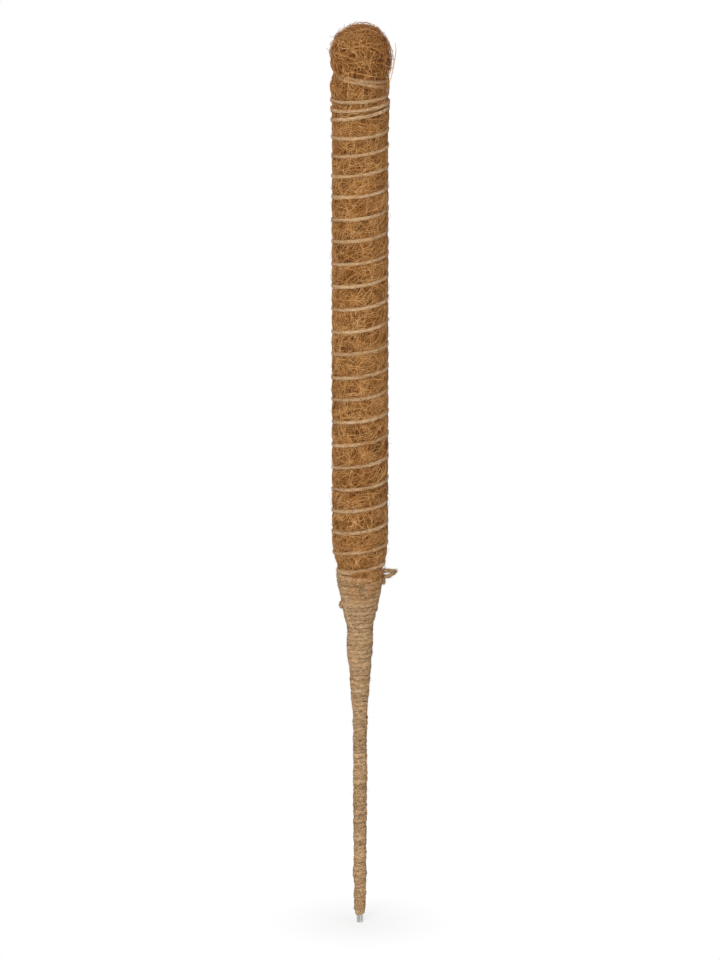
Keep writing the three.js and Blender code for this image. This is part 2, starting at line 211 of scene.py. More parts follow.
@dataclass(frozen=True)
class PoleForm:
    """The forms that the pole's pieces share, in millimetres.

    Attributes:
        seat_outline: Height and radius of the surface that the twine lies on.
        binding_heights: Turns and height of the spiral binding; a whole turn is on the right.
        binding_pitch: Rise of one open turn.
        swell: How far the fleece stands out between open turns.
        swell_foot: Heights between which the swell sets in.
        swell_top: Height at which it ends under the neck.
        shoulder: How far the fleece stands out above the last turn, on the left.
        shoulder_outline: Share of the way up from that turn, and share of the shoulder there.
        lip_outline: Height and how far the coir stands out of its seat above the winding.
        neck_slope: Fall of the neck to the right, for each unit across.
        neck_below: Heights between which that slant sets in.
        neck_above: Heights between which it is lost again.
        notch_outline: Height and how far the coir closes on the lashing on the left.
        twine_height: Height of the binding's face over the seat.
        twine_reach: Distances from a turn between which strands come down from the twine to the coir.
        lashing: Radius of the lashing's middle line.
        lashing_pull: How far the lashing is pulled in on the left.
        angle_steps: Angles in the table of the turns' levels.
        slant_steps: Steps in which the neck's slant is undone.
        least_gap: Least distance that is taken between two turns that run together.
        sink: How far strands lie in the coir between the turns that they cross.
    """

    seat_outline: Outline = (
        (0.0, 1.8), (104.0, 1.8), (120.0, 2.25), (134.0, 3.1), (150.0, 4.4), (160.0, 5.1), (168.0, 5.2),
        (174.0, 6.6), (190.0, 9.8), (200.0, 11.4), (210.0, 13.3), (218.0, 13.9), (438.0, 13.9),
        (454.0, 14.4), (461.0, 14.4), (466.0, 13.9), (470.0, 13.2),
    )
    binding_heights: Outline = (
        (0.0, 197.8), (0.5, 199.4), (1.0, 204.2), (1.5, 209.7), (15.5, 382.4), (16.5, 394.4), (17.5, 407.0),
        (18.5, 418.4), (19.5, 429.6), (20.5, 439.7), (21.0, 443.9), (21.5, 448.9), (22.0, 456.2),
        (22.5, 454.8), (23.0, 459.0), (23.5, 460.2), (24.0, 463.0),
    )
    binding_pitch: float = 12.36
    swell: float = 1.4
    swell_foot: Range = (203.0, 207.0)
    swell_top: float = 467.6
    shoulder: float = 3.4
    shoulder_outline: Outline = ((0.0, 0.0), (0.25, 0.45), (0.5, 1.0), (0.75, 0.9), (1.0, 0.0))
    lip_outline: Outline = ((195.0, 0.0), (196.5, 1.0), (200.0, 0.9), (204.5, 0.0))
    neck_slope: float = 0.22
    neck_below: Range = (460.0, 468.0)
    neck_above: Range = (477.0, 492.0)
    notch_outline: Outline = (
        (464.0, 0.0), (466.5, 0.8), (468.3, 1.6), (469.5, 1.2), (470.7, 0.2), (471.8, 0.1), (473.1, 1.4),
        (474.4, 2.0), (476.0, 0.9), (478.0, 0.3), (480.0, 0.0),
    )
    twine_height: float = 1.45
    twine_reach: Range = (0.9, 1.9)
    lashing: float = 14.45
    lashing_pull: float = 1.4
    angle_steps: int = 720
    slant_steps: int = 6
    least_gap: float = 0.01
    sink: float = 0.1

    @property
    def turns(self) -> int:
        """Counts the binding's turns."""
        return int(self.binding_heights[-1][0])

    def seat(self, level: Array) -> Array:
        """Reads the seat's radius from straight lines between its outline's points."""
        return np.interp(level, *np.transpose(self.seat_outline))

    def neck_drop(self, across: Array, level: Array) -> Array:
        """Gives how far the slanted neck has sunk: slope times x, faded in below and out above."""
        share = smoothstep(level, *self.neck_below) - smoothstep(level, *self.neck_above)
        return self.neck_slope * across * share

    def slanted(self, points: Array) -> Array:
        """Shears the points of an upright form down by the neck's drop at their own place."""
        drop = self.neck_drop(points[..., 0], points[..., 2])
        return points - drop[..., None] * np.array((0.0, 0.0, 1.0))

    def unslanted(self, height: Array, angle: Array) -> Array:
        """Undoes the slant on the seat in steps of level = height + drop at seat cos a and level.

        Args:
            height: Heights on the slanted pole.
            angle: Angles round it.

        Returns:
            The heights before the neck was slanted.
        """
        level = height
        for _ in range(self.slant_steps):
            level = height + self.neck_drop(self.seat(level) * np.cos(angle), level)
        return level

    def binding_height(self, turns: Array) -> Array:
        """Gives the binding's height as a smooth line through its table."""
        return smooth_line(self.binding_heights, turns)

    def lashing_radius(self, angle: Array) -> Array:
        """Gives the lashing's radius, less its pull on the left."""
        return self.lashing - self.lashing_pull * on_left(angle)

    def notch(self, angle: Array, level: Array) -> Array:
        """Gives how far the coir closes on the lashing, by its outline, on the left."""
        return np.interp(level, *np.transpose(self.notch_outline)) * on_left(angle)

    @cached_property
    def turn_levels(self) -> Array:
        """Tabulates the levels of all turns, by angle and turn, from one turn below the first.

        Above the last turn stands the swell's top.
        """
        angle = np.linspace(0.0, TURN, self.angle_steps + 1)[:, None]
        turns = angle / TURN + np.arange(-1.0, self.turns + 2.0)
        levels = self.unslanted(self.binding_height(turns), angle)
        return np.where(turns > self.turns, self.swell_top, levels)

    def neighbours(self, angle: Array, level: Array) -> tuple[Array, Array, Array]:
        """Finds the turns under and over each place, by reading the table of levels between its angles.

        Args:
            angle: Angles round the pole.
            level: Heights before the neck's slant.

        Returns:
            The number of the turn below, its level, and the level of the turn above.
        """
        place = np.mod(angle, TURN) / TURN * self.angle_steps
        row = np.minimum(place.astype(int), self.angle_steps - 1)
        part = (place - row)[..., None]
        levels = self.turn_levels[row] * (1.0 - part) + self.turn_levels[row + 1] * part
        turn = np.clip(np.sum(levels <= level[..., None], axis=-1) - 1, 0, levels.shape[-1] - 2)
        below = np.take_along_axis(levels, turn[..., None], -1)[..., 0]
        above = np.take_along_axis(levels, turn[..., None] + 1, -1)[..., 0]
        return turn, below, above

    def skin(self, angle: Array, level: Array) -> Array:
        """Gives the fleece's radius: the seat plus an arch sqrt(sin) between turns, or the left shoulder.

        The arch's height goes with the distance between the two turns.

        Args:
            angle: Angles round the pole.
            level: Heights before the neck's slant.

        Returns:
            The radius of the coir at each place.
        """
        angle, level = np.broadcast_arrays(angle, level)
        turn, below, above = self.neighbours(angle, level)
        gap = np.maximum(above - below, self.least_gap)
        phase = np.clip((level - below) / gap, 0.0, 1.0)
        arch = self.swell * np.sqrt(np.maximum(np.sin(math.pi * phase), 0.0))
        raised = np.interp(phase, *np.transpose(self.shoulder_outline)) * on_left(angle)
        swell = np.where(turn < self.turns, arch, np.where(turn == self.turns, self.shoulder * raised, 0.0))
        swell = swell * gap / self.binding_pitch * smoothstep(level, *self.swell_foot)
        lip = np.interp(level, *np.transpose(self.lip_outline))
        return self.seat(level) + swell + lip + self.notch(angle, level)

    def over_twine(self, angle: Array, level: Array) -> Array:
        """Gives the radius over coir and twine: the skin's or, near a turn, the seat's plus the twine.

        Args:
            angle: Angles round the pole.
            level: Heights before the neck's slant.

        Returns:
            The radius at each place.
        """
        angle, level = np.broadcast_arrays(angle, level)
        _, below, above = self.neighbours(angle, level)
        near = 1.0 - smoothstep(np.minimum(level - below, above - level), *self.twine_reach)
        return np.maximum(self.skin(angle, level) - self.sink, self.seat(level) + self.twine_height * near)


Operand = Union["Value", float]


class Value:
    """A shader socket that takes part in Python arithmetic; each operation adds one Math node."""

    def __init__(self, shader: "Shader", socket: bpy.types.NodeSocket) -> None:
        """Keeps the socket and the shader that it belongs to."""
        self.shader = shader
        self.socket = socket

    def _math(self, operation: str, first: Operand, second: Operand) -> "Value":
        """Adds a Math node for one operation on two values."""
        return self.shader.node("ShaderNodeMath", {"operation": operation}, {0: first, 1: second})

    def __add__(self, other: Operand) -> "Value":
        """Adds."""
        return self._math("ADD", self, other)

    def __sub__(self, other: Operand) -> "Value":
        """Takes away."""
        return self._math("SUBTRACT", self, other)

    def __mul__(self, other: Operand) -> "Value":
        """Multiplies."""
        return self._math("MULTIPLY", self, other)

    def most(self, other: Operand) -> "Value":
        """Takes the greater of two values."""
        return self._math("MAXIMUM", self, other)

    def between(self, ends: Range) -> "Value":
        """Goes from the first of two numbers to the second as the value goes from 0 to 1."""
        return self * (ends[1] - ends[0]) + ends[0]


class Shader:
    """A node material, or the world's light, under construction."""

    def __init__(self, owner: Material | bpy.types.World) -> None:
        """Empties the node tree of a material or a world.

        Args:
            owner: What the shader is for.
        """
        self.owner = owner
        self.owner.use_nodes = True
        self.tree = owner.node_tree
        self.tree.nodes.clear()

    def node(
        self,
        kind: str,
        settings: Mapping[str, Any] | None = None,
        sockets: Mapping[str | int, Any] | None = None,
        output: str | int = 0,
    ) -> Value:
        """Adds one node, sets it, and then fills or links its sockets.

        Args:
            kind: The node's type.
            settings: Its settings; "stops" gives a ramp's positions and colours.
            sockets: A value or a link for each socket that isn't left as it is.
            output: The output that is returned.

        Returns:
            The chosen output, or the first input of a node that has no output.
        """
        made = self.tree.nodes.new(kind)
        for name, setting in (settings or {}).items():
            if name == "stops":
                self._set_stops(made.color_ramp, setting)
            else:
                setattr(made, name, setting)
        for name, value in (sockets or {}).items():
            if isinstance(value, Value):
                self.tree.links.new(value.socket, made.inputs[name])
            else:
                made.inputs[name].default_value = value
        return Value(self, made.outputs[output] if made.outputs else made.inputs[0])

    @staticmethod
    def _set_stops(ramp: bpy.types.ColorRamp, stops: Stops) -> None:
        """Gives a ramp its stops, which go from 0 to 1."""
        while len(ramp.elements) < len(stops):
            ramp.elements.new(0.5)
        for element, (position, colour) in zip(ramp.elements, stops):
            element.position = position
            element.color = (*colour, 1.0)

    def ramp(self, factor: Value, stops: Stops) -> Value:
        """Colours a value through a ramp."""
        return self.node("ShaderNodeValToRGB", {"stops": stops}, {"Fac": factor})

    def spread(self, factor: Value, low: float, high: float) -> Value:
        """Stretches the part of a value between low and high to 0 to 1 and clips the rest."""
        sockets = {"Value": factor, "From Min": low, "From Max": high}
        return self.node("ShaderNodeMapRange", {"clamp": True}, sockets)

    def object_place(self, scale: Point = (1.0, 1.0, 1.0)) -> Value:
        """Gives object coordinates times a scale."""
        place = self.node("ShaderNodeTexCoord", output="Object")
        return self.node("ShaderNodeMapping", sockets={"Vector": place, "Scale": scale})

    def map_place(self, name: str, turn: float, scale: Point) -> Value:
        """Gives a UV map's coordinates, turned by an angle and then scaled."""
        place = self.node("ShaderNodeUVMap", {"uv_map": name})
        turned = self.node("ShaderNodeMapping", sockets={"Vector": place, "Rotation": (0.0, 0.0, turn)})
        return self.node("ShaderNodeMapping", sockets={"Vector": turned, "Scale": scale})

    def noise(self, place: Value, scale: float, detail: float, roughness: float = 0.55) -> Value:
        """Reads noise at a place."""
        sockets = {"Vector": place, "Scale": scale, "Detail": detail, "Roughness": roughness}
        return self.node("ShaderNodeTexNoise", sockets=sockets)

    def tint(self) -> Value:
        """Reads the piece's own tint attribute."""
        return self.node("ShaderNodeAttribute", {"attribute_name": Layer.TINT.value}, output="Fac")

    def mixed(self, factor: Operand, first: Any, second: Any) -> Value:
        """Mixes two colours."""
        return self.node("ShaderNodeMix", {"data_type": "RGBA"}, {0: factor, 6: first, 7: second}, output=2)

    def bump(self, height: Value, depth: float, strength: float) -> Value:
        """Turns a height into a normal; depth is in metres."""
        sockets = {"Strength": strength, "Distance": depth, "Height": height}
        return self.node("ShaderNodeBump", sockets=sockets)

    def seen(self) -> Value:
        """Is 1 for what the camera sees, straight, mirrored or through glass, and 0 for light that falls."""
        kinds = ("Camera", "Glossy", "Transmission")
        rays = [self.node("ShaderNodeLightPath", output=f"Is {kind} Ray") for kind in kinds]
        return rays[0].most(rays[1]).most(rays[2])

    def surface(self, sockets: Mapping[str, Any]) -> Value:
        """Adds the main surface shader."""
        return self.node("ShaderNodeBsdfPrincipled", sockets=sockets)

    def finish(self, surface: Value) -> Material | bpy.types.World:
        """Wires a surface to the output and returns the material or the world."""
        kind = "World" if isinstance(self.owner, bpy.types.World) else "Material"
        self.node(f"ShaderNodeOutput{kind}", sockets={"Surface": surface})
        return self.owner


# Tone, how pale the places are, and the relief.
Tones = tuple[Value, Value, Optional[Value]]


class Layer(Enum):
    """Layers that the pieces' meshes carry."""

    TINT = "tint"
    LAY = "Lay"
    BAKE = "OFBake"


@dataclass(frozen=True)
class FibreFinish(ABC):
    """A dull fibre, dark to pale by a tone that each kind of fibre makes up.

    Attributes:
        name: The material's name.
        stops: Colours by tone.
        rough: Roughness of the dark and of the pale places.
        specular: Strength of the shine.
    """

    name: str
    stops: Stops
    rough: Range
    specular: float

    @abstractmethod
    def tones(self, shader: Shader) -> Tones:
        """Gives its tone, how pale its places are, and its relief if it has one."""

    def material(self) -> Material:
        """Builds the node material."""
        shader = Shader(bpy.data.materials.new(self.name))
        tone, pale, relief = self.tones(shader)
        sockets = {
            "Base Color": shader.ramp(tone, self.stops),
            "Roughness": pale.between(self.rough),
            "Specular IOR Level": self.specular,
        }
        if relief is not None:
            sockets["Normal"] = relief
        return shader.finish(shader.surface(sockets))


@dataclass(frozen=True)
class CoirStrandFinish(FibreFinish):
    """Single coir strands: waxy, golden to dark brown by each strand's tint, with paler and darker stretches.

    Attributes:
        stretch: Scale of the stretches, for each metre, and their share in the tone.
        fleck: Noise that is a darker and a paler stretch.
    """

    name: str = "coir_strand"
    stops: Stops = (
        (0.0, (0.110, 0.032, 0.005)),
        (0.3, (0.330, 0.122, 0.026)),
        (0.65, (0.570, 0.255, 0.074)),
        (1.0, (0.830, 0.480, 0.190)),
    )
    rough: Range = (0.48, 0.72)
    specular: float = 0.12
    stretch: Range = (420.0, 0.22)
    fleck: Range = (0.3, 0.7)

    def tones(self, shader: Shader) -> Tones:
        """Adds the stretches to the strand's tint."""
        fleck = shader.spread(shader.noise(shader.object_place(), self.stretch[0], 2.0), *self.fleck)
        # The tint holds each strand's random tone plus painted shade on the lower strands.
        return shader.tint() + (fleck - 0.5) * self.stretch[1], fleck, None


@dataclass(frozen=True)
class CoirMassFinish(FibreFinish):
    """The felted coir under the strands: crossing streaks at several slants over dark gaps.

    Attributes:
        slants: Directions of the streaks on the map, in radians.
        streak: Scale of a streak along and across itself, for each millimetre.
        gap: Heights of the noise that are a gap, dark as painted shade, and a lit strand.
        depth: Height of the streaks, in metres.
    """

    name: str = "coir_mass"
    # The near-black low stops are painted shade in the gaps between strands and deep in the felt.
    stops: Stops = (
        (0.0, (0.030, 0.008, 0.001)),
        (0.4, (0.130, 0.043, 0.008)),
        (0.75, (0.330, 0.132, 0.033)),
        (1.0, (0.540, 0.260, 0.078)),
    )
    rough: Range = (0.9, 0.65)
    specular: float = 0.12
    slants: tuple[float, ...] = (0.35, 1.05, 1.7, 2.6)
    streak: Range = (0.16, 3.0)
    gap: Range = (0.46, 0.72)
    depth: float = 0.0005

    def tones(self, shader: Shader) -> Tones:
        """Takes the highest of the crossing streaks."""
        places = [shader.map_place(Layer.LAY.value, slant, (*self.streak, 1.0)) for slant in self.slants]
        height = shader.noise(places[0], 1.0, 2.0)
        for place in places[1:]:
            height = height.most(shader.noise(place, 1.0, 2.0))
        lit = shader.spread(height, *self.gap)
        return lit, lit, shader.bump(lit, self.depth, 0.9)


@dataclass(frozen=True)
class JuteTwineFinish(FibreFinish):
    """Spun jute: pale and dark filaments that run along the twist, soft and dull.

    Attributes:
        twist: Slant of the filaments against the strand, in radians.
        filament: Scale of a filament along and across itself, for each millimetre.
        ply: The same for a ply.
        stretch: Scale of the slow stretches, for each metre.
        speck: Scale of the short flecks across the filaments, for each metre, and their share.
        shares: Shares of the filaments, the plies and the stretches in the tone.
        level: Mean tone.
        tint_share: Share of the twine's own tint in it.
        lit: Tones that are fully shaded and fully pale.
        depth: Height of the filaments, in metres.
    """

    rough: Range = (0.94, 0.8)
    specular: float = 0.1
    twist: float = 0.42
    filament: Range = (0.34, 1.7)
    ply: Range = (0.1, 0.9)
    stretch: float = 95.0
    speck: Range = (1200.0, 0.5)
    shares: tuple[float, float, float] = (0.5, 0.15, 0.1)
    level: float = 0.55
    tint_share: float = 0.12
    lit: Range = (0.4, 0.7)
    depth: float = 0.0003

    def tones(self, shader: Shader) -> Tones:
        """Adds up filaments, plies, stretches, flecks and tint, each round its mean."""
        lay = Layer.LAY.value
        fine = shader.noise(shader.map_place(lay, self.twist, (*self.filament, 1.0)), 1.0, 3.0, 0.6)
        plies = shader.noise(shader.map_place(lay, self.twist, (*self.ply, 1.0)), 1.0, 1.0)
        stretch = shader.noise(shader.object_place(), self.stretch, 2.0)
        speck = shader.noise(shader.object_place((1.0, 1.0, 2.2)), self.speck[0], 2.0)
        tone = fine * self.shares[0] + plies * self.shares[1] + stretch * self.shares[2]
        mean = (sum(self.shares) + self.speck[1] + self.tint_share) / 2.0
        tone = tone + speck * self.speck[1] + shader.tint() * self.tint_share + (self.level - mean)
        lit = shader.spread(tone, *self.lit)
        return lit, lit, shader.bump(fine + plies * 0.8, self.depth, 0.85)


@dataclass(frozen=True)
class JuteHairFinish(FibreFinish):
    """Loose jute filaments that lie on the twine or stand off it.

    Attributes:
        patch: Scale of its paler and darker patches, for each metre, and their share in the tone.
    """

    name: str = "jute_hair"
    stops: Stops = (
        (0.0, (0.130, 0.066, 0.025)),
        (0.35, (0.350, 0.210, 0.100)),
        (0.7, (0.580, 0.385, 0.210)),
        (1.0, (0.800, 0.590, 0.370)),
    )
    rough: Range = (0.7, 0.9)
    specular: float = 0.2
    patch: Range = (300.0, 0.4)

    def tones(self, shader: Shader) -> Tones:
        """Adds the patches to the filament's tint."""
        patches = shader.noise(shader.object_place(), self.patch[0], 1.0)
        return shader.tint() + (patches - 0.5) * self.patch[1], patches, None


@dataclass(frozen=True)
class DrawnAluminiumFinish:
    """Dull drawn aluminium with fine lengthwise lines and a bloom of oxide.

    Attributes:
        name: The material's name.
        bright: Colour of the drawn lines.
        dull: Colour of the oxide bloom.
        line: Scale of the lines across and along the rod, for each metre.
        bloom: Scale of the bloom, for each metre, and its share in the wear.
        wear: Noise that is dull and bright.
        rough: Roughness of dull and bright metal.
        metal: How far both are metal.
        depth: Height of the lines, in metres.
    """

    name: str = "drawn_aluminium"
    bright: Colour = (0.72, 0.71, 0.68)
    dull: Colour = (0.32, 0.32, 0.31)
    line: Point = (1100.0, 1100.0, 30.0)
    bloom: Range = (420.0, 0.35)
    wear: Range = (0.38, 0.58)
    rough: Range = (0.56, 0.38)
    metal: Range = (0.85, 0.95)
    depth: float = 0.00006

    def material(self) -> Material:
        """Builds the node material."""
        shader = Shader(bpy.data.materials.new(self.name))
        lines = shader.noise(shader.object_place(self.line), 1.0, 3.0)
        bloom = shader.noise(shader.object_place(), self.bloom[0], 3.0)
        worn = shader.spread(bloom * self.bloom[1] + lines * (1.0 - self.bloom[1]), *self.wear)
        sockets = {
            "Base Color": shader.mixed(worn, (*self.dull, 1.0), (*self.bright, 1.0)),
            "Roughness": worn.between(self.rough),
            "Metallic": worn.between(self.metal),
            "Normal": shader.bump(lines, self.depth, 0.5),
        }
        return shader.finish(shader.surface(sockets))


@dataclass(frozen=True)
class PaleFloorFinish:
    """A white studio floor that keeps a soft shadow at the pole's foot and runs out to plain white.

    Attributes:
        name: The material's name.
        colour: The floor's own colour.
        lift: Share of plain white that the camera sees at the pole's foot.
        reach: Distances between which the floor runs out to plain white, in metres.
    """

    name: str = "pale_floor"
    colour: Colour = (0.88, 0.88, 0.87)
    lift: float = 0.7
    reach: Range = (0.0, 0.05)

    def material(self) -> Material:
        """Builds the node material."""
        shader = Shader(bpy.data.materials.new(self.name))
        place = shader.node("ShaderNodeTexCoord", output="Object")
        distance = shader.node("ShaderNodeVectorMath", {"operation": "LENGTH"}, {0: place}, output="Value")
        far = shader.spread(distance, *self.reach)
        lit = shader.surface({"Base Color": (*self.colour, 1.0), "Roughness": 0.9, "Specular IOR Level": 0.1})
        white = shader.node("ShaderNodeEmission", sockets={"Color": WHITE, "Strength": 1.0})
        factor = shader.seen() * far.between((self.lift, 1.0))
        return shader.finish(shader.node("ShaderNodeMixShader", sockets={0: factor, 1: lit, 2: white}))


@dataclass(frozen=True)
class Palette:
    """The pole's materials, each built once.

    Attributes:
        strand: Single coir strands.
        mass: Felted coir.
        binding: Pale twine of the spiral.
        winding: Darker twine of the stake, the lashing and the knots.
        hair: Loose jute filaments.
        rod: The drawn rod.
    """

    strand: Material
    mass: Material
    binding: Material
    winding: Material
    hair: Material
    rod: Material

    @classmethod
    def mixed(cls) -> "Palette":
        """Builds every material."""
        pale = ((0.0, (0.300, 0.175, 0.080)), (0.45, (0.530, 0.335, 0.175)), (1.0, (0.725, 0.510, 0.310)))
        dark = ((0.0, (0.190, 0.101, 0.040)), (0.45, (0.446, 0.271, 0.135)), (1.0, (0.718, 0.485, 0.279)))
        return cls(
            strand=CoirStrandFinish().material(),
            mass=CoirMassFinish().material(),
            binding=JuteTwineFinish("binding_twine", pale).material(),
            winding=JuteTwineFinish(
                "winding_twine", dark, twist=0.14, filament=(0.55, 1.8), speck=(1500.0, 0.8)
            ).material(),
            hair=JuteHairFinish().material(),
            rod=DrawnAluminiumFinish().material(),
        )


# Steps of a quad's four corners round a form and along it.
CORNERS_ROUND = np.array((0, 1, 1, 0))
CORNERS_ALONG = np.array((0, 0, 1, 1))


@dataclass
class Faces:
    """Faces of one count of corners, with a map place for each corner.

    Attributes:
        corners: Vertex numbers, one row for each face.
        maps: For each map's name, places of every corner.
    """

    corners: Array
    maps: dict[str, Array]


def make_mesh(name: str, points: Array, groups: Sequence[Faces], tints: Array) -> Mesh:
    """Puts arrays of points and faces into a smooth mesh, in metres.

    Args:
        name: The mesh's name.
        points: Points in millimetres, one row each.
        groups: Its faces, grouped by their count of corners.
        tints: A tint for each point.

    Returns:
        The mesh.
    """
    mesh = bpy.data.meshes.new(name)
    corners = np.concatenate([group.corners.ravel() for group in groups])
    sizes = np.concatenate([np.full(len(group.corners), group.corners.shape[1]) for group in groups])
    mesh.vertices.add(len(points))
    mesh.vertices.foreach_set("co", (points * MM).astype(np.float32).ravel())
    mesh.loops.add(len(corners))
    mesh.loops.foreach_set("vertex_index", corners.astype(np.int32))
    mesh.polygons.add(len(sizes))
    mesh.polygons.foreach_set("loop_start", (np.cumsum(sizes) - sizes).astype(np.int32))
    mesh.update(calc_edges=True)
    mesh.shade_smooth()
    for layer in groups[0].maps:
        places = np.concatenate([group.maps[layer].reshape(-1, 2) for group in groups])
        mesh.uv_layers.new(name=layer).uv.foreach_set("vector", places.astype(np.float32).ravel())
    tint = mesh.attributes.new(Layer.TINT.value, "FLOAT", "POINT")
    tint.data.foreach_set("value", np.broadcast_to(tints, len(points)).astype(np.float32))
    return mesh


def add_piece(
    mesh: Mesh, material: Material, replaced: Sequence[str] = ()
) -> None:
    """Adds a mesh to the pole as one dressed piece on its only body.

    Args:
        mesh: The piece's mesh, whose name the piece takes.
        material: Its finish.
        replaced: CAD nodes that it stands for.
    """
    piece = bpy.data.objects.new(mesh.name, mesh)
    bpy.context.scene.collection.objects.link(piece)
    mesh.materials.append(material)
    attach(piece, ROOT)
    if replaced:
        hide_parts(*replaced)
    log.info("%s: %d faces, for %s", piece.name, len(mesh.polygons), ", ".join(replaced) or "no node")


@dataclass
class Tubes:
    """Tubes that share a count of rings and sides: an oval ring carried along each path.

    Attributes:
        paths: Middle lines, by tube, ring and axis.
        outward: The direction in which each ring's thickness lies.
        thickness: Half the thickness, by tube and ring.
        width: Half the width, by tube and ring.
        sides: Points on a ring.
        tints: A tint by tube and ring.
        relief: Share by which each ring point stands out, by tube, ring and side.
    """

    paths: Array
    outward: Array
    thickness: Array
    width: Array
    sides: int
    tints: Array
    relief: Array | float = 0.0

    @property
    def shape(self) -> tuple[int, int, int]:
        """Gives the counts of tubes, rings and sides."""
        return (*self.paths.shape[:2], self.sides)

    def side_angles(self) -> Array:
        """Spaces a ring's points evenly, from its inner side, where the map's seam is hidden."""
        return math.pi + TURN * np.arange(self.sides) / self.sides

    def rings(self) -> Array:
        """Carries the oval along: middle + (1 + relief)(thickness cos s outward + width sin s across).

        Returns:
            Ring points, by tube, ring, side and axis.
        """
        tangent = unit(np.gradient(self.paths, axis=1))
        across = unit(np.cross(tangent, self.outward))
        raised = np.cross(across, tangent)
        spin = self.side_angles()[:, None]
        out = (self.thickness[..., None] * raised)[:, :, None] * np.cos(spin)
        side = (self.width[..., None] * across)[:, :, None] * np.sin(spin)
        grown = 1.0 + np.broadcast_to(self.relief, self.shape)
        return self.paths[:, :, None] + grown[..., None] * (out + side)

    def faces(self, cell_rings: int, columns: int) -> list[Faces]:
        """Joins neighbouring rings with quads and closes both ends of each tube with a polygon.

        Args:
            cell_rings: Rings that one cell of the bake map holds.
            columns: Cells in a row of that map.

        Returns:
            The quads, the first ends and the last ends, each with its maps.
        """
        tubes, rings, sides = self.shape
        number = np.arange(tubes * rings * sides).reshape(self.shape)
        ahead = np.roll(number, -1, axis=2)
        quads = np.stack((number[:, :-1], ahead[:, :-1], ahead[:, 1:], number[:, 1:]), axis=-1)
        first, last = number[:, 0, ::-1], number[:, -1]
        body, ends = self._bake_places(cell_rings, columns)
        lay, lay_ends = self._lay_places()
        return [
            Faces(quads.reshape(-1, 4), {Layer.LAY.value: lay, Layer.BAKE.value: body}),
            Faces(first, {Layer.LAY.value: lay_ends, Layer.BAKE.value: ends[0]}),
            Faces(last, {Layer.LAY.value: lay_ends, Layer.BAKE.value: ends[1]}),
        ]

    def _lay_places(self) -> tuple[Array, Array]:
        """Unrolls each tube: length along it and girth round it, both in millimetres.

        Returns:
            Places of the quads' corners and of an end's corners.
        """
        tubes, rings, sides = self.shape
        length = length_along(self.paths)
        girth = TURN * float(np.mean(self.thickness + self.width)) / 2.0
        u = length[:, np.arange(rings - 1)[:, None] + CORNERS_ALONG][:, :, None]
        side = girth * (np.arange(sides)[:, None] + CORNERS_ROUND) / sides
        u, v = np.broadcast_arrays(u, side)
        spin = self.side_angles()
        end = np.stack((np.cos(spin), np.sin(spin)), axis=-1)
        return np.stack((u, v), axis=-1), np.broadcast_to(end, (tubes, sides, 2))

    def _bake_places(self, cell_rings: int, columns: int) -> tuple[Array, tuple[Array, Array]]:
        """Lays the tubes out in cells, row by row, with each end as a small polygon in its own cell's margin.

        Args:
            cell_rings: Rings that one cell holds.
            columns: Cells in a row.

        Returns:
            Places of the quads' corners, and of the first and last ends' corners.
        """
        tubes, rings, sides = self.shape
        margin, gutter = 0.05, 0.08
        end_place, end_reach, end_height = 0.3 * margin, 0.25 * margin, 0.3
        per_tube = math.ceil((rings - 1) / cell_rings)
        rows = math.ceil(tubes * per_tube / columns)
        ring = np.arange(rings - 1)
        cell = np.arange(tubes)[:, None] * per_tube + ring // cell_rings
        along = (ring % cell_rings)[:, None] + CORNERS_ALONG
        u = (cell % columns)[..., None] + margin + (1.0 - 2.0 * margin) * along / cell_rings
        across = (np.arange(sides)[:, None] + CORNERS_ROUND) / sides
        v = (cell // columns)[..., None, None] + gutter + (1.0 - 2.0 * gutter) * across
        u, v = np.broadcast_arrays(u[:, :, None] / columns, v / rows)
        spin = self.side_angles()
        ends = []
        for end_cell, place in ((cell[:, 0], end_place), (cell[:, -1], 1.0 - end_place)):
            end_u = (end_cell % columns)[:, None] + place + end_reach * np.cos(spin)
            end_v = (end_cell // columns)[:, None] + 0.5 + end_height * np.sin(spin)
            ends.append(np.stack((end_u / columns, end_v / rows), axis=-1))
        return np.stack((u, v), axis=-1), (ends[0], ends[1])

    def mesh(self, name: str, cell_rings: int, columns: int) -> Mesh:
        """Makes one mesh, with so many rings in a cell of the bake map and so many cells in its row."""
        tints = np.broadcast_to(self.tints[..., None], self.shape).ravel()
        return make_mesh(name, self.rings().reshape(-1, 3), self.faces(cell_rings, columns), tints)


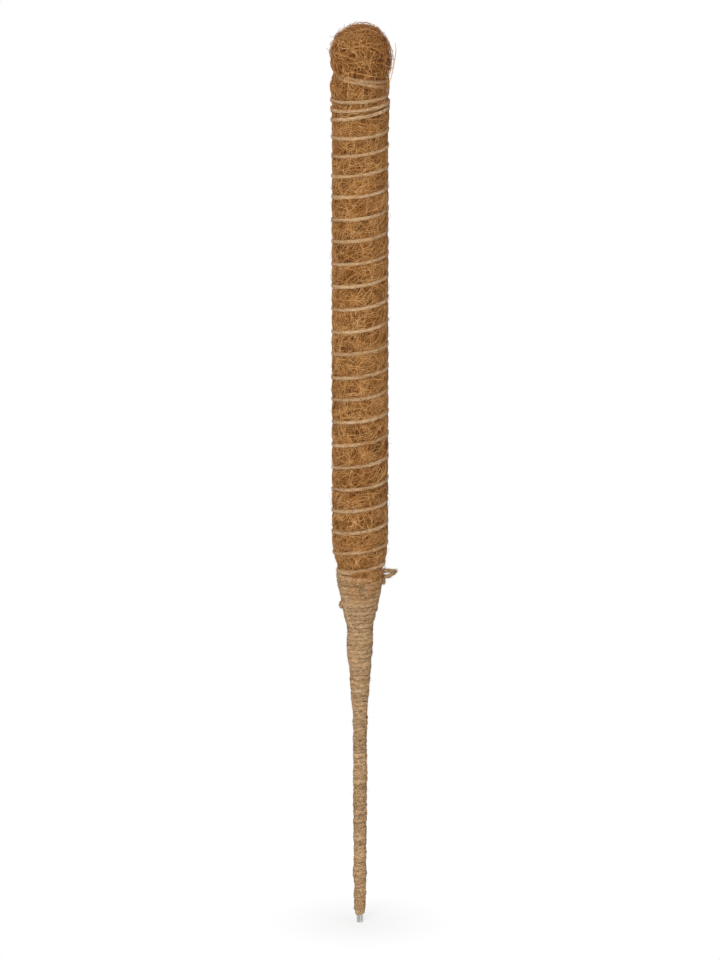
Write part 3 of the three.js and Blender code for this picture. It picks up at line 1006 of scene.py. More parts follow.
@dataclass
class RoundSheet:
    """A closed form of rings, each closed to a point at the first and the last ring's middle.

    Attributes:
        points: Ring points, by ring, facet and axis.
        tint: The tint of the whole form.
        girth: Length that one time round has on the lay map.
        fan: Height of an end's fan on that map.
    """

    points: Array
    tint: float
    girth: float
    fan: float = 5.0

    def mesh(self, name: str) -> Mesh:
        """Joins the rings with quads and closes both ends with fans round their middles.

        Args:
            name: The mesh's name.

        Returns:
            The mesh.
        """
        rings, facets = self.points.shape[:2]
        number = np.arange(rings * facets).reshape(rings, facets)
        ahead = np.roll(number, -1, axis=1)
        quads = np.stack((number[:-1], ahead[:-1], ahead[1:], number[1:]), axis=-1)
        foot, head = rings * facets, rings * facets + 1
        first = np.stack((ahead[0], number[0], np.full(facets, foot)), axis=-1)
        last = np.stack((number[-1], ahead[-1], np.full(facets, head)), axis=-1)
        middles = self.points[[0, -1]].mean(axis=1)
        height = length_along(self.points.mean(axis=1) + self.points[:, 0])
        u = self.girth * (np.arange(facets)[:, None] + CORNERS_ROUND) / facets
        v = height[np.arange(rings - 1)[:, None] + CORNERS_ALONG][:, None]
        u, v = np.broadcast_arrays(u, v)
        fan = np.stack((u[0, :, :3], np.broadcast_to((0.0, 0.0, self.fan), (facets, 3))), axis=-1)
        points = np.concatenate((self.points.reshape(-1, 3), middles))
        groups = [
            Faces(quads.reshape(-1, 4), {Layer.LAY.value: np.stack((u, v), axis=-1)}),
            Faces(np.concatenate((first, last)), {Layer.LAY.value: np.concatenate((fan, fan))}),
        ]
        return make_mesh(name, points, groups, np.array(self.tint))


@dataclass
class CoreRod:
    """The drawn rod that runs up the middle and shows at the tip.

    Attributes:
        radius: The rod's radius.
        top: Its upper end, inside the coir.
        chamfer: The filed edge at both ends.
        dish: How far the saw-cut foot is hollow.
        burr: Middle of the foot's rounded edge, in from the side and up.
        hoops: Heights of two rings that keep the shading even above the foot.
        facets: Facets round it.
    """

    radius: float = 1.8
    top: float = 458.0
    chamfer: float = 0.3
    dish: float = 0.08
    burr: Range = (0.08, 0.14)
    hoops: Range = (4.0, 12.0)
    facets: int = 48

    def build(self) -> Mesh:
        """Turns the rod's outline round its axis, with a saw-cut foot that is dished a little.

        Returns:
            The rod's mesh.
        """
        cut = self.radius - self.chamfer
        foot = ((0.5 * cut, self.dish), (cut, 0.0), (self.radius - self.burr[0], self.burr[1]))
        side = (self.chamfer, *self.hoops, self.top - self.chamfer)
        outline = np.array((*foot, *((self.radius, level) for level in side), (cut, self.top)))
        angle = TURN * np.arange(self.facets) / self.facets
        points = polar(angle[None], outline[:, :1], outline[:, 1:])
        return RoundSheet(points, 0.5, TURN * self.radius).mesh("rod")

    def dress(self, palette: Palette) -> None:
        """Adds the rod in drawn aluminium."""
        add_piece(self.build(), palette.rod, ("core_rod",))


@dataclass
class CoirFilling:
    """The coir packed round the rod inside the winding and the fleece.

    Attributes:
        form: The pole's shared forms.
        outline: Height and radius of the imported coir.
        facets: Facets round it.
        rows: Rings along it.
        lumps: Depth of its lumps.
    """

    form: PoleForm
    outline: Outline = (
        (122.0, 2.36), (134.0, 3.1), (150.0, 4.4), (160.0, 5.1), (167.0, 4.5), (190.0, 6.5), (206.0, 8.5),
        (470.0, 8.5),
    )
    facets: int = 48
    rows: int = 160
    lumps: float = 0.25

    def build(self) -> Mesh:
        """Turns the outline round the axis, less a shallow seeded unevenness.

        Returns:
            The filling's mesh.
        """
        levels, radii = np.transpose(self.outline)
        level = np.linspace(levels[0], levels[-1], self.rows)[:, None]
        angle = TURN * np.arange(self.facets)[None] / self.facets
        wave = Unevenness(11, (9, 90))(angle / TURN, level / levels[-1])
        radius = np.interp(level, levels, radii) - self.lumps * (0.5 + 0.5 * wave)
        points = self.form.slanted(polar(angle, radius, level))
        return RoundSheet(points, 0.2, TURN * radii[-1]).mesh("coir_packing")

    def dress(self, palette: Palette) -> None:
        """Adds the filling in felted coir."""
        add_piece(self.build(), palette.mass, ("coir_filling",))


@dataclass(frozen=True)
class StrandKind:
    """One kind of coir strand.

    Attributes:
        name: Name of the piece that holds these strands.
        seed: Seed of its draws.
        count: How many strands there are.
        rings: Rings along a strand.
        length: Shortest and longest strand.
        width: Thinnest and thickest strand.
        lift: Least and greatest height over the coir at a strand's middle, or at a loose strand's end.
        bend: Spread of a strand's whole turn, in radians.
        wave: Greatest swing of its course on top of that, in radians.
        tint: Tint of the lowest and of the highest strands; where the first is darker, the lower strands'
            darkness is painted shade.
        hold: How a strand is held.
        tuft: Strands that lie side by side.
        columns: Cells in a row of its bake map.
    """

    name: str
    seed: int
    count: int
    rings: int
    length: Range
    width: Range
    lift: Range
    bend: float
    wave: float
    tint: Range
    hold: Hold = Hold.FELTED
    tuft: int = 3
    columns: int = 12


@dataclass
class StrandDraw:
    """The seeded draws that each strand of a kind has in common.

    Attributes:
        kind: The kind of strand.
    """

    kind: StrandKind

    def __post_init__(self) -> None:
        """Draws lengths, widths, heights, and tints that go six parts with height and four with chance."""
        kind = self.kind
        self.rng = np.random.default_rng(kind.seed)
        self.length = self.rng.uniform(*kind.length, kind.count)[:, None]
        self.width = self.rng.uniform(*kind.width, kind.count)[:, None]
        height = self.rng.uniform(0.0, 1.0, kind.count)[:, None]
        chance = self.rng.uniform(0.0, 1.0, kind.count)[:, None]
        # The six height parts are painted shade, darker where a strand lies lower; the four chance parts are
        # the strand's own random tone.
        painted_shade_and_tone = np.clip(0.5 + 1.4 * (0.6 * height + 0.4 * chance - 0.5), 0.0, 1.0)
        self.lift = kind.lift[0] + (kind.lift[1] - kind.lift[0]) * height
        self.tint = kind.tint[0] + (kind.tint[1] - kind.tint[0]) * painted_shade_and_tone
        self.bend = self.rng.normal(0.0, kind.bend, kind.count)[:, None]
        self.wave = self.rng.uniform(0.0, kind.wave, kind.count)[:, None]
        self.sway = self.rng.uniform(0.0, 1.0, kind.count)[:, None]
        self.share = np.linspace(-0.5, 0.5, kind.rings)[None]

    def tufted(self, values: Array, scatter: float) -> Array:
        """Gives the strands of a tuft one value, plus a scatter of their own."""
        tuft = np.arange(self.kind.count) // self.kind.tuft
        return (values[tuft] + self.rng.normal(0.0, scatter, self.kind.count))[:, None]

    @property
    def tufts(self) -> int:
        """Counts the tufts."""
        return -(-self.kind.count // self.kind.tuft)

    def course(self, heading: Array) -> tuple[Array, Array]:
        """Walks each strand: its heading turns evenly and swings, and equal steps along it are added up.

        Args:
            heading: Each strand's mean heading.

        Returns:
            How far each ring is across and up from the strand's middle.
        """
        swing = self.wave * np.sin(TURN * (1.2 * self.share + self.sway))
        course = heading + self.bend * self.share + swing
        step = self.length / (self.kind.rings - 1)
        across = np.cumsum(np.cos(course) * step, axis=1)
        along = np.cumsum(np.sin(course) * step, axis=1)
        return across - across.mean(axis=1, keepdims=True), along - along.mean(axis=1, keepdims=True)

    @property
    def ends(self) -> Array:
        """Gives how near each ring is to an end of its strand, from 0 in the middle to 1."""
        return np.abs(2.0 * self.share)

    def mesh(self, paths: Array, outward: Array) -> Mesh:
        """Gives each path a three-sided strand that thins towards both ends.

        Args:
            paths: Middle lines by strand, ring and axis.
            outward: Direction away from the coir.

        Returns:
            The strands' mesh.
        """
        half = self.width / 2.0 * (1.0 - 0.45 * self.ends**3)
        tints = np.clip(self.tint * np.ones_like(half), 0.0, 1.0)
        strands = Tubes(paths, outward, half, half, 3, tints)
        return strands.mesh(self.kind.name, self.kind.rings - 1, self.kind.columns)


@dataclass
class CoirFleece:
    """The felted coir sleeve: a felt body and the strands in, on and off its face.

    Attributes:
        form: The pole's shared forms.
        hem: Lower end, under the top of the winding.
        top: Upper end, under the dome.
        facets: Facets round the felt body.
        rows: Rings along it.
        inset: How far the felt body lies under the strands.
        lumps: Depth of its coarse and fine lumps.
        mouth: Heights between which it comes out of the winding.
        foot: Lowest height of its strands.
        open_from: Lowest middle of its longer strands.
        unrolled: Radius at which it is unrolled.
        leaning: Mean heading, in radians, and spread of the tufts that lean up to the right.
        following: The same of the tufts that follow the twine.
        chances: Chances under which a tuft leans or follows; the others lie anyhow.
        scatter: Scatter of a tuft's strands in heading, angle and height.
        dips: How far held ends go under the skin, by hold.
        felt_parts: Lengths of the sleeve in which the short strands come.
        felt: Short strands that make its face.
        strong: Longer, paler strands on that face.
        bridging: Strands that run over the twine.
        loose: Ends that stand off.
    """

    form: PoleForm
    hem: float = 188.0
    top: float = 470.0
    facets: int = 108
    rows: int = 420
    inset: float = 0.9
    lumps: Range = (0.3, 0.2)
    mouth: Range = (194.0, 196.0)
    foot: float = 196.6
    open_from: float = 203.0
    unrolled: float = 14.5
    leaning: Range = (1.0, 0.5)
    following: Range = (0.12, 0.25)
    chances: Range = (0.35, 0.55)
    scatter: Point = (0.1, 0.12, 1.6)
    dips: Point = (0.5, 0.6, 0.3)
    felt_parts: int = 4
    felt: StrandKind = StrandKind(
        name="coir_felt", seed=21, count=5200, rings=6, length=(4.5, 14.0),
        width=(0.13, 0.25), lift=(-0.9, 0.15), bend=0.9, wave=0.3, tint=(-0.1, 1.0), tuft=5,
    )
    strong: StrandKind = StrandKind(
        name="coir_strands", seed=22, count=900, rings=12, length=(9.0, 24.0),
        width=(0.16, 0.29), lift=(-0.3, 0.1), bend=1.5, wave=0.35, tint=(0.4, 1.0), tuft=2, columns=8,
    )
    bridging: StrandKind = StrandKind(
        name="coir_over_twine", seed=23, hold=Hold.BRIDGING, count=1900, rings=12, length=(5.0, 24.0),
        width=(0.13, 0.27), lift=(0.0, 0.25), bend=1.4, wave=0.3, tint=(0.3, 1.0), tuft=1, columns=8,
    )
    loose: StrandKind = StrandKind(
        name="coir_loose_ends", seed=24, hold=Hold.LOOSE, count=480, rings=8, length=(3.0, 11.0),
        width=(0.08, 0.2), lift=(0.3, 2.2), bend=1.6, wave=0.5, tint=(0.7, 0.1), tuft=1, columns=8,
    )

    def build_body(self) -> Mesh:
        """Sets the skin's radius back by the inset and two scales of lumps on a grid of angle and height.

        Returns:
            The felt body's mesh.
        """
        level = np.linspace(self.hem, self.top, self.rows)[:, None]
        angle = TURN * np.arange(self.facets)[None] / self.facets
        coarse = Unevenness(31, (16, 90))(angle / TURN, level / self.top)
        fine = Unevenness(32, (72, 400))(angle / TURN, level / self.top)
        radius = self.form.skin(angle, level) - self.inset + self.lumps[0] * coarse + self.lumps[1] * fine
        open_share = smoothstep(level, *self.mouth)
        radius = radius * open_share + (self.form.seat(level) - 0.4) * (1.0 - open_share)
        points = self.form.slanted(polar(angle, radius, level))
        return RoundSheet(points, 0.3, TURN * 14.0).mesh("fleece_felt")

    def build_strands(self, kind: StrandKind, span: Range) -> Mesh:
        """Lays strands over the skin: walked on the unrolled sleeve, rolled back, and raised by their lift.

        Args:
            kind: The kind of strand.
            span: Heights between which the strands' middles lie.

        Returns:
            The strands' mesh.
        """
        draw = StrandDraw(kind)
        rng = draw.rng
        leaning = rng.normal(*self.leaning, draw.tufts)
        following = rng.normal(*self.following, draw.tufts)
        anyhow = rng.uniform(0.0, math.pi, draw.tufts)
        choice = rng.uniform(0.0, 1.0, draw.tufts)
        leans, follows = (choice < chance for chance in self.chances)
        heading = np.where(leans, leaning, np.where(follows, following, anyhow))
        across, along = draw.course(draw.tufted(heading, self.scatter[0]))
        middle = draw.tufted(rng.uniform(0.0, TURN, draw.tufts), self.scatter[1])
        level = draw.tufted(rng.uniform(*span, draw.tufts), self.scatter[2]) + along
        level = np.clip(level, self.foot, self.top - 0.3)
        angle = middle + across / self.unrolled
        skin = self.form.skin(angle, level)
        ends = draw.ends
        felted, bridging, loose = self.dips
        if kind.hold is Hold.FELTED:
            radius = skin + draw.lift * (1.0 - ends**4) - felted * ends**4
        elif kind.hold is Hold.BRIDGING:
            over = self.form.over_twine(angle, level) + draw.lift
            radius = over * (1.0 - ends**6) + (skin - bridging) * ends**6
        else:
            radius = skin - loose + draw.lift * (draw.share + 0.5) ** 1.5
        points = self.form.slanted(polar(angle, radius, level))
        return draw.mesh(points, outward_at(angle))

    def dress(self, palette: Palette) -> None:
        """Adds the felt body and its strands; the short ones come in several lengths of the sleeve."""
        add_piece(self.build_body(), palette.mass, ("coir_fleece",))
        cuts = np.linspace(self.foot + 1.0, self.top - 0.5, self.felt_parts + 1)
        for part, span in enumerate(zip(cuts[:-1], cuts[1:]), start=1):
            kind = replace(self.felt, name=f"{self.felt.name}_{part}", seed=100 * part + self.felt.seed)
            add_piece(self.build_strands(kind, span), palette.strand)
        for kind in (self.strong, self.bridging, self.loose):
            add_piece(self.build_strands(kind, (self.open_from, self.top - 2.0)), palette.strand)


@dataclass
class CoirCap:
    """The dome: a dark ball of felt on a waist, and the strands that curl over it and over its neck.

    Attributes:
        form: The pole's shared forms.
        seat: Lower end of the waist.
        waist_top: Height at which the waist turns out into the ball.
        middle: Height of the ball's widest ring.
        crown: Height of its top.
        waist: Radius of the waist.
        radius: Greatest radius.
        hollow: How far the ball falls short on the right, half-way up to its crown.
        inset: How far the felt lies under the strands.
        facets: Facets round the felt.
        rows: Rings up the ball.
        lumps: Depth of its coarse and fine lumps.
        unrolled: Radius at which the neck is unrolled.
        neck_span: Heights between which the neck's strands lie.
        filling_level: Middle height of the neck's filling, and its spread.
        tuft_level: The same of the strands over the lashing.
        left_tuft: Middle of the tuft that hangs over the neck on the left, and its spread, in radians.
        right_tuft: The same on the right.
        felt: Strands deep in the ball, darkened as painted shade of its depth.
        strong: Paler arcs that make its face.
        standing: Arcs that stand off it.
        loose: Ends that stand off it.
        filling: Short strands in the neck, under the ball.
        tuft: Strands that hang from the ball over the lashing, half of them in the two tufts.
    """

    form: PoleForm
    seat: float = 470.3
    waist_top: float = 475.0
    middle: float = 485.5
    crown: float = 499.4
    waist: float = 13.2
    radius: float = 15.5
    hollow: float = 1.3
    inset: float = 2.3
    facets: int = 128
    rows: int = 72
    lumps: Range = (0.45, 0.25)
    unrolled: float = 15.0
    neck_span: Range = (461.0, 482.0)
    filling_level: Range = (476.6, 1.4)
    tuft_level: Range = (472.5, 2.4)
    left_tuft: Range = (3.25, 0.42)
    right_tuft: Range = (-0.15, 0.2)
    felt: StrandKind = StrandKind(
        name="dome_felt", seed=51, count=1200, rings=10, length=(8.0, 26.0),
        width=(0.14, 0.26), lift=(-2.6, -0.2), bend=2.2, wave=0.5, tint=(-0.9, 0.8),
    )
    strong: StrandKind = StrandKind(
        name="dome_arcs", seed=152, count=640, rings=16, length=(8.0, 30.0),
        width=(0.14, 0.28), lift=(-0.7, 1.2), bend=2.3, wave=0.6, tint=(0.08, 1.1), tuft=1, columns=6,
    )
    standing: StrandKind = StrandKind(
        name="dome_standing_arcs", seed=53, hold=Hold.BRIDGING, count=180, rings=16, length=(12.0, 36.0),
        width=(0.15, 0.29), lift=(0.5, 2.8), bend=2.4, wave=0.8, tint=(0.1, 0.9), tuft=1, columns=6,
    )
    loose: StrandKind = StrandKind(
        name="dome_loose_ends", seed=54, hold=Hold.LOOSE, count=190, rings=12, length=(4.0, 17.0),
        width=(0.16, 0.3), lift=(0.6, 4.2), bend=2.4, wave=1.0, tint=(0.85, 0.1), tuft=1, columns=6,
    )
    filling: StrandKind = StrandKind(
        name="neck_filling", seed=55, count=900, rings=7, length=(4.0, 11.0),
        width=(0.14, 0.26), lift=(-0.6, 0.5), bend=1.3, wave=0.4, tint=(-0.3, 0.85), tuft=2,
    )
    tuft: StrandKind = StrandKind(
        name="neck_tuft", seed=56, hold=Hold.BRIDGING, count=190, rings=9, length=(6.0, 15.0),
        width=(0.13, 0.27), lift=(0.0, 0.7), bend=1.6, wave=0.4, tint=(0.2, 0.9), tuft=2,
    )

    def side(self, angle: Array, level: Array) -> Array:
        """Gives the radius under the middle, a share d of the way down: w + (R - w)(1 - d^2)^0.3 + notch."""
        down = np.clip((self.middle - level) / (self.middle - self.waist_top), 0.0, 1.0)
        ball = (self.radius - self.waist) * (1.0 - down**2) ** 0.3
        return self.waist + ball + self.form.notch(angle, level)

    def shell(self, direction: Array, lift: Array) -> Array:
        """Maps directions from the ball's middle to the dome, and raises them by the lift.

        Above the middle it is an ellipsoid, r = R cos e and z = m + (c - m) sin e, less a hollow
        h sin(pi sin e) on the right; below it, the radius is the side's and z falls to the waist's top.

        Args:
            direction: Unit directions.
            lift: Heights over the shell.

        Returns:
            Points on the slanted dome.
        """
        rise = direction[..., 2]
        flat = np.sqrt(np.maximum(1.0 - rise**2, 0.0))
        angle = np.arctan2(direction[..., 1], direction[..., 0])
        reach = np.where(rise >= 0.0, self.crown - self.middle, self.middle - self.waist_top)
        level = self.middle + reach * rise
        hollow = self.hollow * np.sin(math.pi * np.maximum(rise, 0.0)) * (1.0 + np.cos(angle)) / 2.0
        radius = np.where(rise >= 0.0, self.radius * flat - hollow, self.side(angle, level))
        outward = polar(angle, np.where(rise >= 0.0, flat, 1.0), np.maximum(rise, 0.0))
        return self.form.slanted(polar(angle, radius, level) + lift[..., None] * outward)

    def build_body(self) -> Mesh:
        """Turns waist, side and dome round the axis, set back by the inset and two scales of lumps.

        Returns:
            The felt ball's mesh.
        """
        angle = TURN * np.arange(self.facets)[None] / self.facets
        stem = np.linspace(self.seat, self.waist_top, 8)[:-1, None]
        foot = self.form.slanted(polar(angle, self.side(angle, stem) - self.inset, stem))
        rise = np.sin(np.linspace(-math.pi / 2.0, 0.995 * math.pi / 2.0, self.rows))[:, None]
        flat = np.sqrt(1.0 - rise**2)
        share = (np.arange(self.rows) / self.rows)[:, None]
        coarse = Unevenness(33, (14, 12))(angle / TURN, share)
        fine = Unevenness(34, (60, 44))(angle / TURN, share)
        lift = (self.lumps[0] * coarse + self.lumps[1] * fine) * flat - self.inset
        ball = self.shell(polar(angle, flat, rise), lift)
        return RoundSheet(np.concatenate((foot, ball)), 0.3, TURN * self.radius).mesh("dome_felt_body")

    def build_strands(self, kind: StrandKind) -> Mesh:
        """Lays strands over the ball: walked on a plane that touches it, then wrapped on: c cos d + w sin d.

        Args:
            kind: The kind of strand.

        Returns:
            The strands' mesh.
        """
        draw = StrandDraw(kind)
        rng = draw.rng
        centre = rng.normal(size=(kind.count, 3))
        if kind.hold is not Hold.FELTED:
            centre = 0.9 * centre + np.array((0.6, -0.1, 0.7))
        centre = unit(centre)
        centre[:, 2] = np.where(centre[:, 2] < -0.6, -centre[:, 2], centre[:, 2])
        first = unit(np.cross(centre, rng.normal(size=(kind.count, 3))))[:, None]
        second = np.cross(centre[:, None], first)
        across, along = draw.course(np.zeros((kind.count, 1)))
        walked = across[..., None] * first + along[..., None] * second
        distance = np.linalg.norm(walked, axis=-1, keepdims=True)
        direction = centre[:, None] * np.cos(distance / self.radius)
        direction = direction + unit(walked) * np.sin(distance / self.radius)
        direction[..., 2] = np.maximum(direction[..., 2], -0.96)
        direction = unit(direction)
        ends = draw.ends
        if kind.hold is Hold.LOOSE:
            lift = draw.lift * (draw.share + 0.5) ** 1.4 - 0.3
        else:
            lift = draw.lift * (1.0 - ends**3) - 0.6 * ends**3
        return draw.mesh(self.shell(direction, lift), direction)

    def build_neck(self, kind: StrandKind, angles: Array, levels: Range) -> Mesh:
        """Lays steep strands from the ball into the neck, on the coir or over the lashing, ends dipped in.

        Args:
            kind: The kind of strand.
            angles: Where each tuft of strands lies round the neck.
            levels: Middle height of the strands and its spread.

        Returns:
            The strands' mesh.
        """
        draw = StrandDraw(kind)
        rng = draw.rng
        across, along = draw.course(draw.tufted(rng.normal(math.pi / 2.0, 0.65, draw.tufts), 0.2))
        level = np.clip(draw.tufted(rng.normal(*levels, draw.tufts), 0.6) + along, *self.neck_span)
        angle = draw.tufted(angles[: draw.tufts], 0.05) + across / self.unrolled
        coir = np.where(level < self.seat, self.form.skin(angle, level), self.side(angle, level))
        if kind.hold is Hold.BRIDGING:
            coir = np.maximum(coir, self.form.lashing_radius(angle) + 0.75)
        ends = draw.ends
        radius = coir + draw.lift * (1.0 - ends**2) - 0.7 * ends**4
        points = self.form.slanted(polar(angle, radius, level))
        return draw.mesh(points, outward_at(angle))

    def dress(self, palette: Palette) -> None:
        """Adds the felt ball, its strands and those in and over the neck."""
        # The felt ball's dark mass colour is painted shade under the strands.
        add_piece(self.build_body(), palette.mass, ("coir_cap",))
        for kind in (self.felt, self.strong, self.standing, self.loose):
            add_piece(self.build_strands(kind), palette.strand)
        rng = np.random.default_rng(57)
        all_round = rng.uniform(0.0, TURN, self.filling.count)
        hanging = rng.normal(*self.left_tuft, self.tuft.count)
        hanging[::2] = rng.uniform(0.0, TURN, len(hanging[::2]))
        hanging[1::6] = rng.normal(*self.right_tuft, len(hanging[1::6]))
        add_piece(self.build_neck(self.filling, all_round, self.filling_level), palette.strand)
        add_piece(self.build_neck(self.tuft, hanging, self.tuft_level), palette.strand)


@dataclass(frozen=True)
class HairKind:
    """One kind of filament on a twine.

    Attributes:
        name: Ending of its piece's name.
        count: How many there are.
        length: Shortest and longest filament.
        width: Thinnest and thickest filament.
        rise: Least and greatest height of its end, for each millimetre of its length.
        stray: Spread of its slant against the twine.
        tint: Darkest and palest filament.
    """

    name: str
    count: int
    length: Range
    width: Range
    rise: Range
    stray: float
    tint: Range = (0.1, 1.0)


@dataclass
class TwineRun:
    """A laid run of jute twine with its loose filaments.

    Attributes:
        name: Name of the twine's piece.
        seed: Seed of its unevenness and filaments.
        path: Middle line, one row for each ring.
        outward: Direction in which its thickness lies.
        thickness: Thickness at each ring.
        width: Width at each ring.
        hairs: Kinds of filament on it.
        lay: Length in which the plies go once round.
        plies: How far the plies stand out, as a share of the twine's half thickness.
        slant: Mean slant of its filaments against the strand, in radians.
        squareness: How far its section is pressed from an oval towards a square.
        sides: Points on a ring.
        cell_rings: Rings in one cell of the bake map.
        columns: Cells in a row of that map.
    """

    name: str
    seed: int
    path: Array
    outward: Array
    thickness: Array
    width: Array
    hairs: tuple[HairKind, ...]
    lay: float = 6.0
    plies: float = 0.1
    slant: float = 0.3
    squareness: float = 0.0
    sides: int = 12
    cell_rings: int = 90
    columns: int = 2

    def tubes(self) -> Tubes:
        """Presses two plies into the section, p cos 2(s - 2 pi l / lay), and adds a seeded unevenness.

        A squared section adds (|cos s|^3 + |sin s|^3)^(-1/3) - 1.

        Returns:
            The twine as one tube.
        """
        length = length_along(self.path)[:, None]
        share = length / length[-1]
        spin = TURN * np.arange(self.sides)[None] / self.sides
        plies = self.plies * np.cos(2.0 * spin - TURN * length / self.lay)
        cells = max(4, int(length[-1, 0] / 1.4))
        rough = 0.11 * Unevenness(self.seed, (5, cells))(spin / TURN, share)
        slub = 0.10 * Unevenness(self.seed + 1, (1, max(4, cells // 8)))(0.0 * spin, share)
        tint = 0.5 + 0.5 * Unevenness(self.seed + 2, (1, max(4, cells // 12)))(0.0, share[:, 0])
        square = (np.abs(np.cos(spin)) ** 3 + np.abs(np.sin(spin)) ** 3) ** (-1.0 / 3.0) - 1.0
        relief = plies + rough + slub + self.squareness * square
        return Tubes(
            self.path[None], self.outward[None], self.thickness[None] / 2.0, self.width[None] / 2.0,
            self.sides, tint[None], relief[None],
        )

    def build(self) -> Mesh:
        """Makes the twine's mesh."""
        return self.tubes().mesh(self.name, self.cell_rings, self.columns)

    def build_hairs(self, kind: HairKind) -> Mesh:
        """Lays filaments on the twine's face, slanted against it, each leaving it as rise times share^1.5.

        Args:
            kind: The kind of filament.

        Returns:
            The filaments' mesh.
        """
        rng = np.random.default_rng(self.seed + 3 + kind.count)
        rings = self.tubes().rings()[0]
        step = float(np.mean(np.linalg.norm(np.diff(self.path, axis=0), axis=-1)))
        girth = math.pi * float(np.mean(self.thickness + self.width)) / 2.0
        share = np.linspace(0.0, 1.0, 4)[None]
        length = rng.uniform(*kind.length, kind.count)[:, None]
        slant = rng.normal(self.slant, kind.stray, kind.count)[:, None]
        way = rng.choice((-1.0, 1.0), kind.count)[:, None]
        ring = rng.uniform(1.0, len(rings) - 2.0, kind.count)[:, None]
        ring = np.clip(ring + way * length * np.cos(slant) * share / step, 0.0, len(rings) - 1.001)
        side = self.sides * rng.uniform(0.24, 0.76, kind.count)[:, None]
        side = side + way * length * np.sin(slant) * share * self.sides / girth
        face, middle = self._read(rings, ring, side)
        normal = unit(face - middle)
        rise = rng.uniform(*kind.rise, kind.count)[:, None] * length
        paths = face + (rise * share**1.5 + 0.02)[..., None] * normal
        half = rng.uniform(*kind.width, kind.count)[:, None] / 2.0 * np.linspace(1.0, 0.5, 4)
        tints = rng.uniform(*kind.tint, kind.count)[:, None] * np.ones((1, 4))
        return Tubes(paths, normal, half, half, 3, tints).mesh(f"{self.name}_{kind.name}", 3, 12)

    def _read(self, rings: Array, ring: Array, side: Array) -> tuple[Array, Array]:
        """Reads points of the face and of the middle line between rings and sides.

        Args:
            rings: The twine's ring points.
            ring: Places along it, in rings.
            side: Places round it, in sides.

        Returns:
            The points on the face and on the middle line.
        """
        i, j = np.floor(ring).astype(int), np.floor(side).astype(int)
        f, g = (ring - i)[..., None], (side - j)[..., None]
        near, far = j % self.sides, (j + 1) % self.sides
        low = rings[i, near] * (1.0 - g) + rings[i, far] * g
        high = rings[i + 1, near] * (1.0 - g) + rings[i + 1, far] * g
        return low * (1.0 - f) + high * f, self.path[i] * (1.0 - f) + self.path[i + 1] * f

    def dress(self, twine: Material, hair: Material, replaced: Sequence[str]) -> None:
        """Adds the twine, which stands for its node, and its loose filaments.

        Args:
            twine: The twine's finish.
            hair: The filaments' finish.
            replaced: CAD nodes that the twine stands for.
        """
        add_piece(self.build(), twine, replaced)
        for kind in self.hairs:
            add_piece(self.build_hairs(kind), hair)


def evenly(turns: Array, path: Array, step: float) -> Array:
    """Spreads rings evenly along a path: turns read at equal steps of the length measured along it.

    Args:
        turns: Turns at fine samples of the path.
        path: Points at those samples.
        step: Distance between rings.

    Returns:
        The turns at each ring.
    """
    measure = length_along(path)
    return np.interp(np.linspace(0.0, measure[-1], int(measure[-1] / step) + 1), measure, turns)


@dataclass
class SpiralBinding:
    """The open spiral of twine that holds the fleece.

    Attributes:
        form: The pole's shared forms.
        width: Width of the laid twine.
        thickness: Its thickness.
        rise: Height of its middle line over the seat.
        opened: Share by which the first turn is wider, where its plies have opened.
        wander: How far it strays up or down, and in or out.
        tuck: How far its two ends go into the coir.
        step: Distance between its rings.
        hairs: Filaments on it.
    """

    form: PoleForm
    width: float = 1.95
    thickness: float = 1.7
    rise: float = 0.58
    opened: float = 0.35
    wander: Range = (0.3, 0.12)
    tuck: float = 1.6
    step: float = 0.6
    hairs: tuple[HairKind, ...] = (
        HairKind("filaments", 4600, (2.0, 6.0), (0.07, 0.18), (0.0, 0.1), 0.4, (0.0, 1.0)),
        HairKind("hairs", 3400, (0.8, 3.2), (0.05, 0.1), (0.1, 0.7), 0.7, (0.2, 1.0)),
    )

    def path(self, turns: Array) -> Array:
        """Winds the twine: angle 2 pi t at the binding's height, over the seat, with a wander, ends tucked.

        Args:
            turns: Turns made so far.

        Returns:
            Points of the middle line.
        """
        form, share = self.form, turns / self.form.turns
        angle = TURN * turns
        height = form.binding_height(turns) + self.wander[0] * Unevenness(61, (1, 70))(0.0, share)
        bed = form.seat(form.unslanted(height, angle))
        bed = bed + self.wander[1] * Unevenness(62, (1, 120))(0.0, share)
        starting = 1.0 - smoothstep(turns, 0.0, 0.06)
        ending = smoothstep(turns, form.turns - 0.06, form.turns)
        return polar(angle, bed + self.rise - self.tuck * (starting + ending), height)

    def run(self) -> TwineRun:
        """Lays the twine along its path in even steps.

        Returns:
            The twine's run.
        """
        fine = np.linspace(0.0, self.form.turns, 4001)
        turns = evenly(fine, self.path(fine), self.step)
        thickness = self.thickness * np.ones_like(turns)
        width = self.width * (1.0 + self.opened * (1.0 - smoothstep(turns, 0.8, 1.4)))
        return TwineRun(
            "spiral_twine", 63, self.path(turns), outward_at(TURN * turns), thickness, width, self.hairs,
            cell_rings=78,
        )

    def dress(self, palette: Palette) -> None:
        """Adds the spiral twine."""
        self.run().dress(palette.binding, palette.hair, ("spiral_binding",))


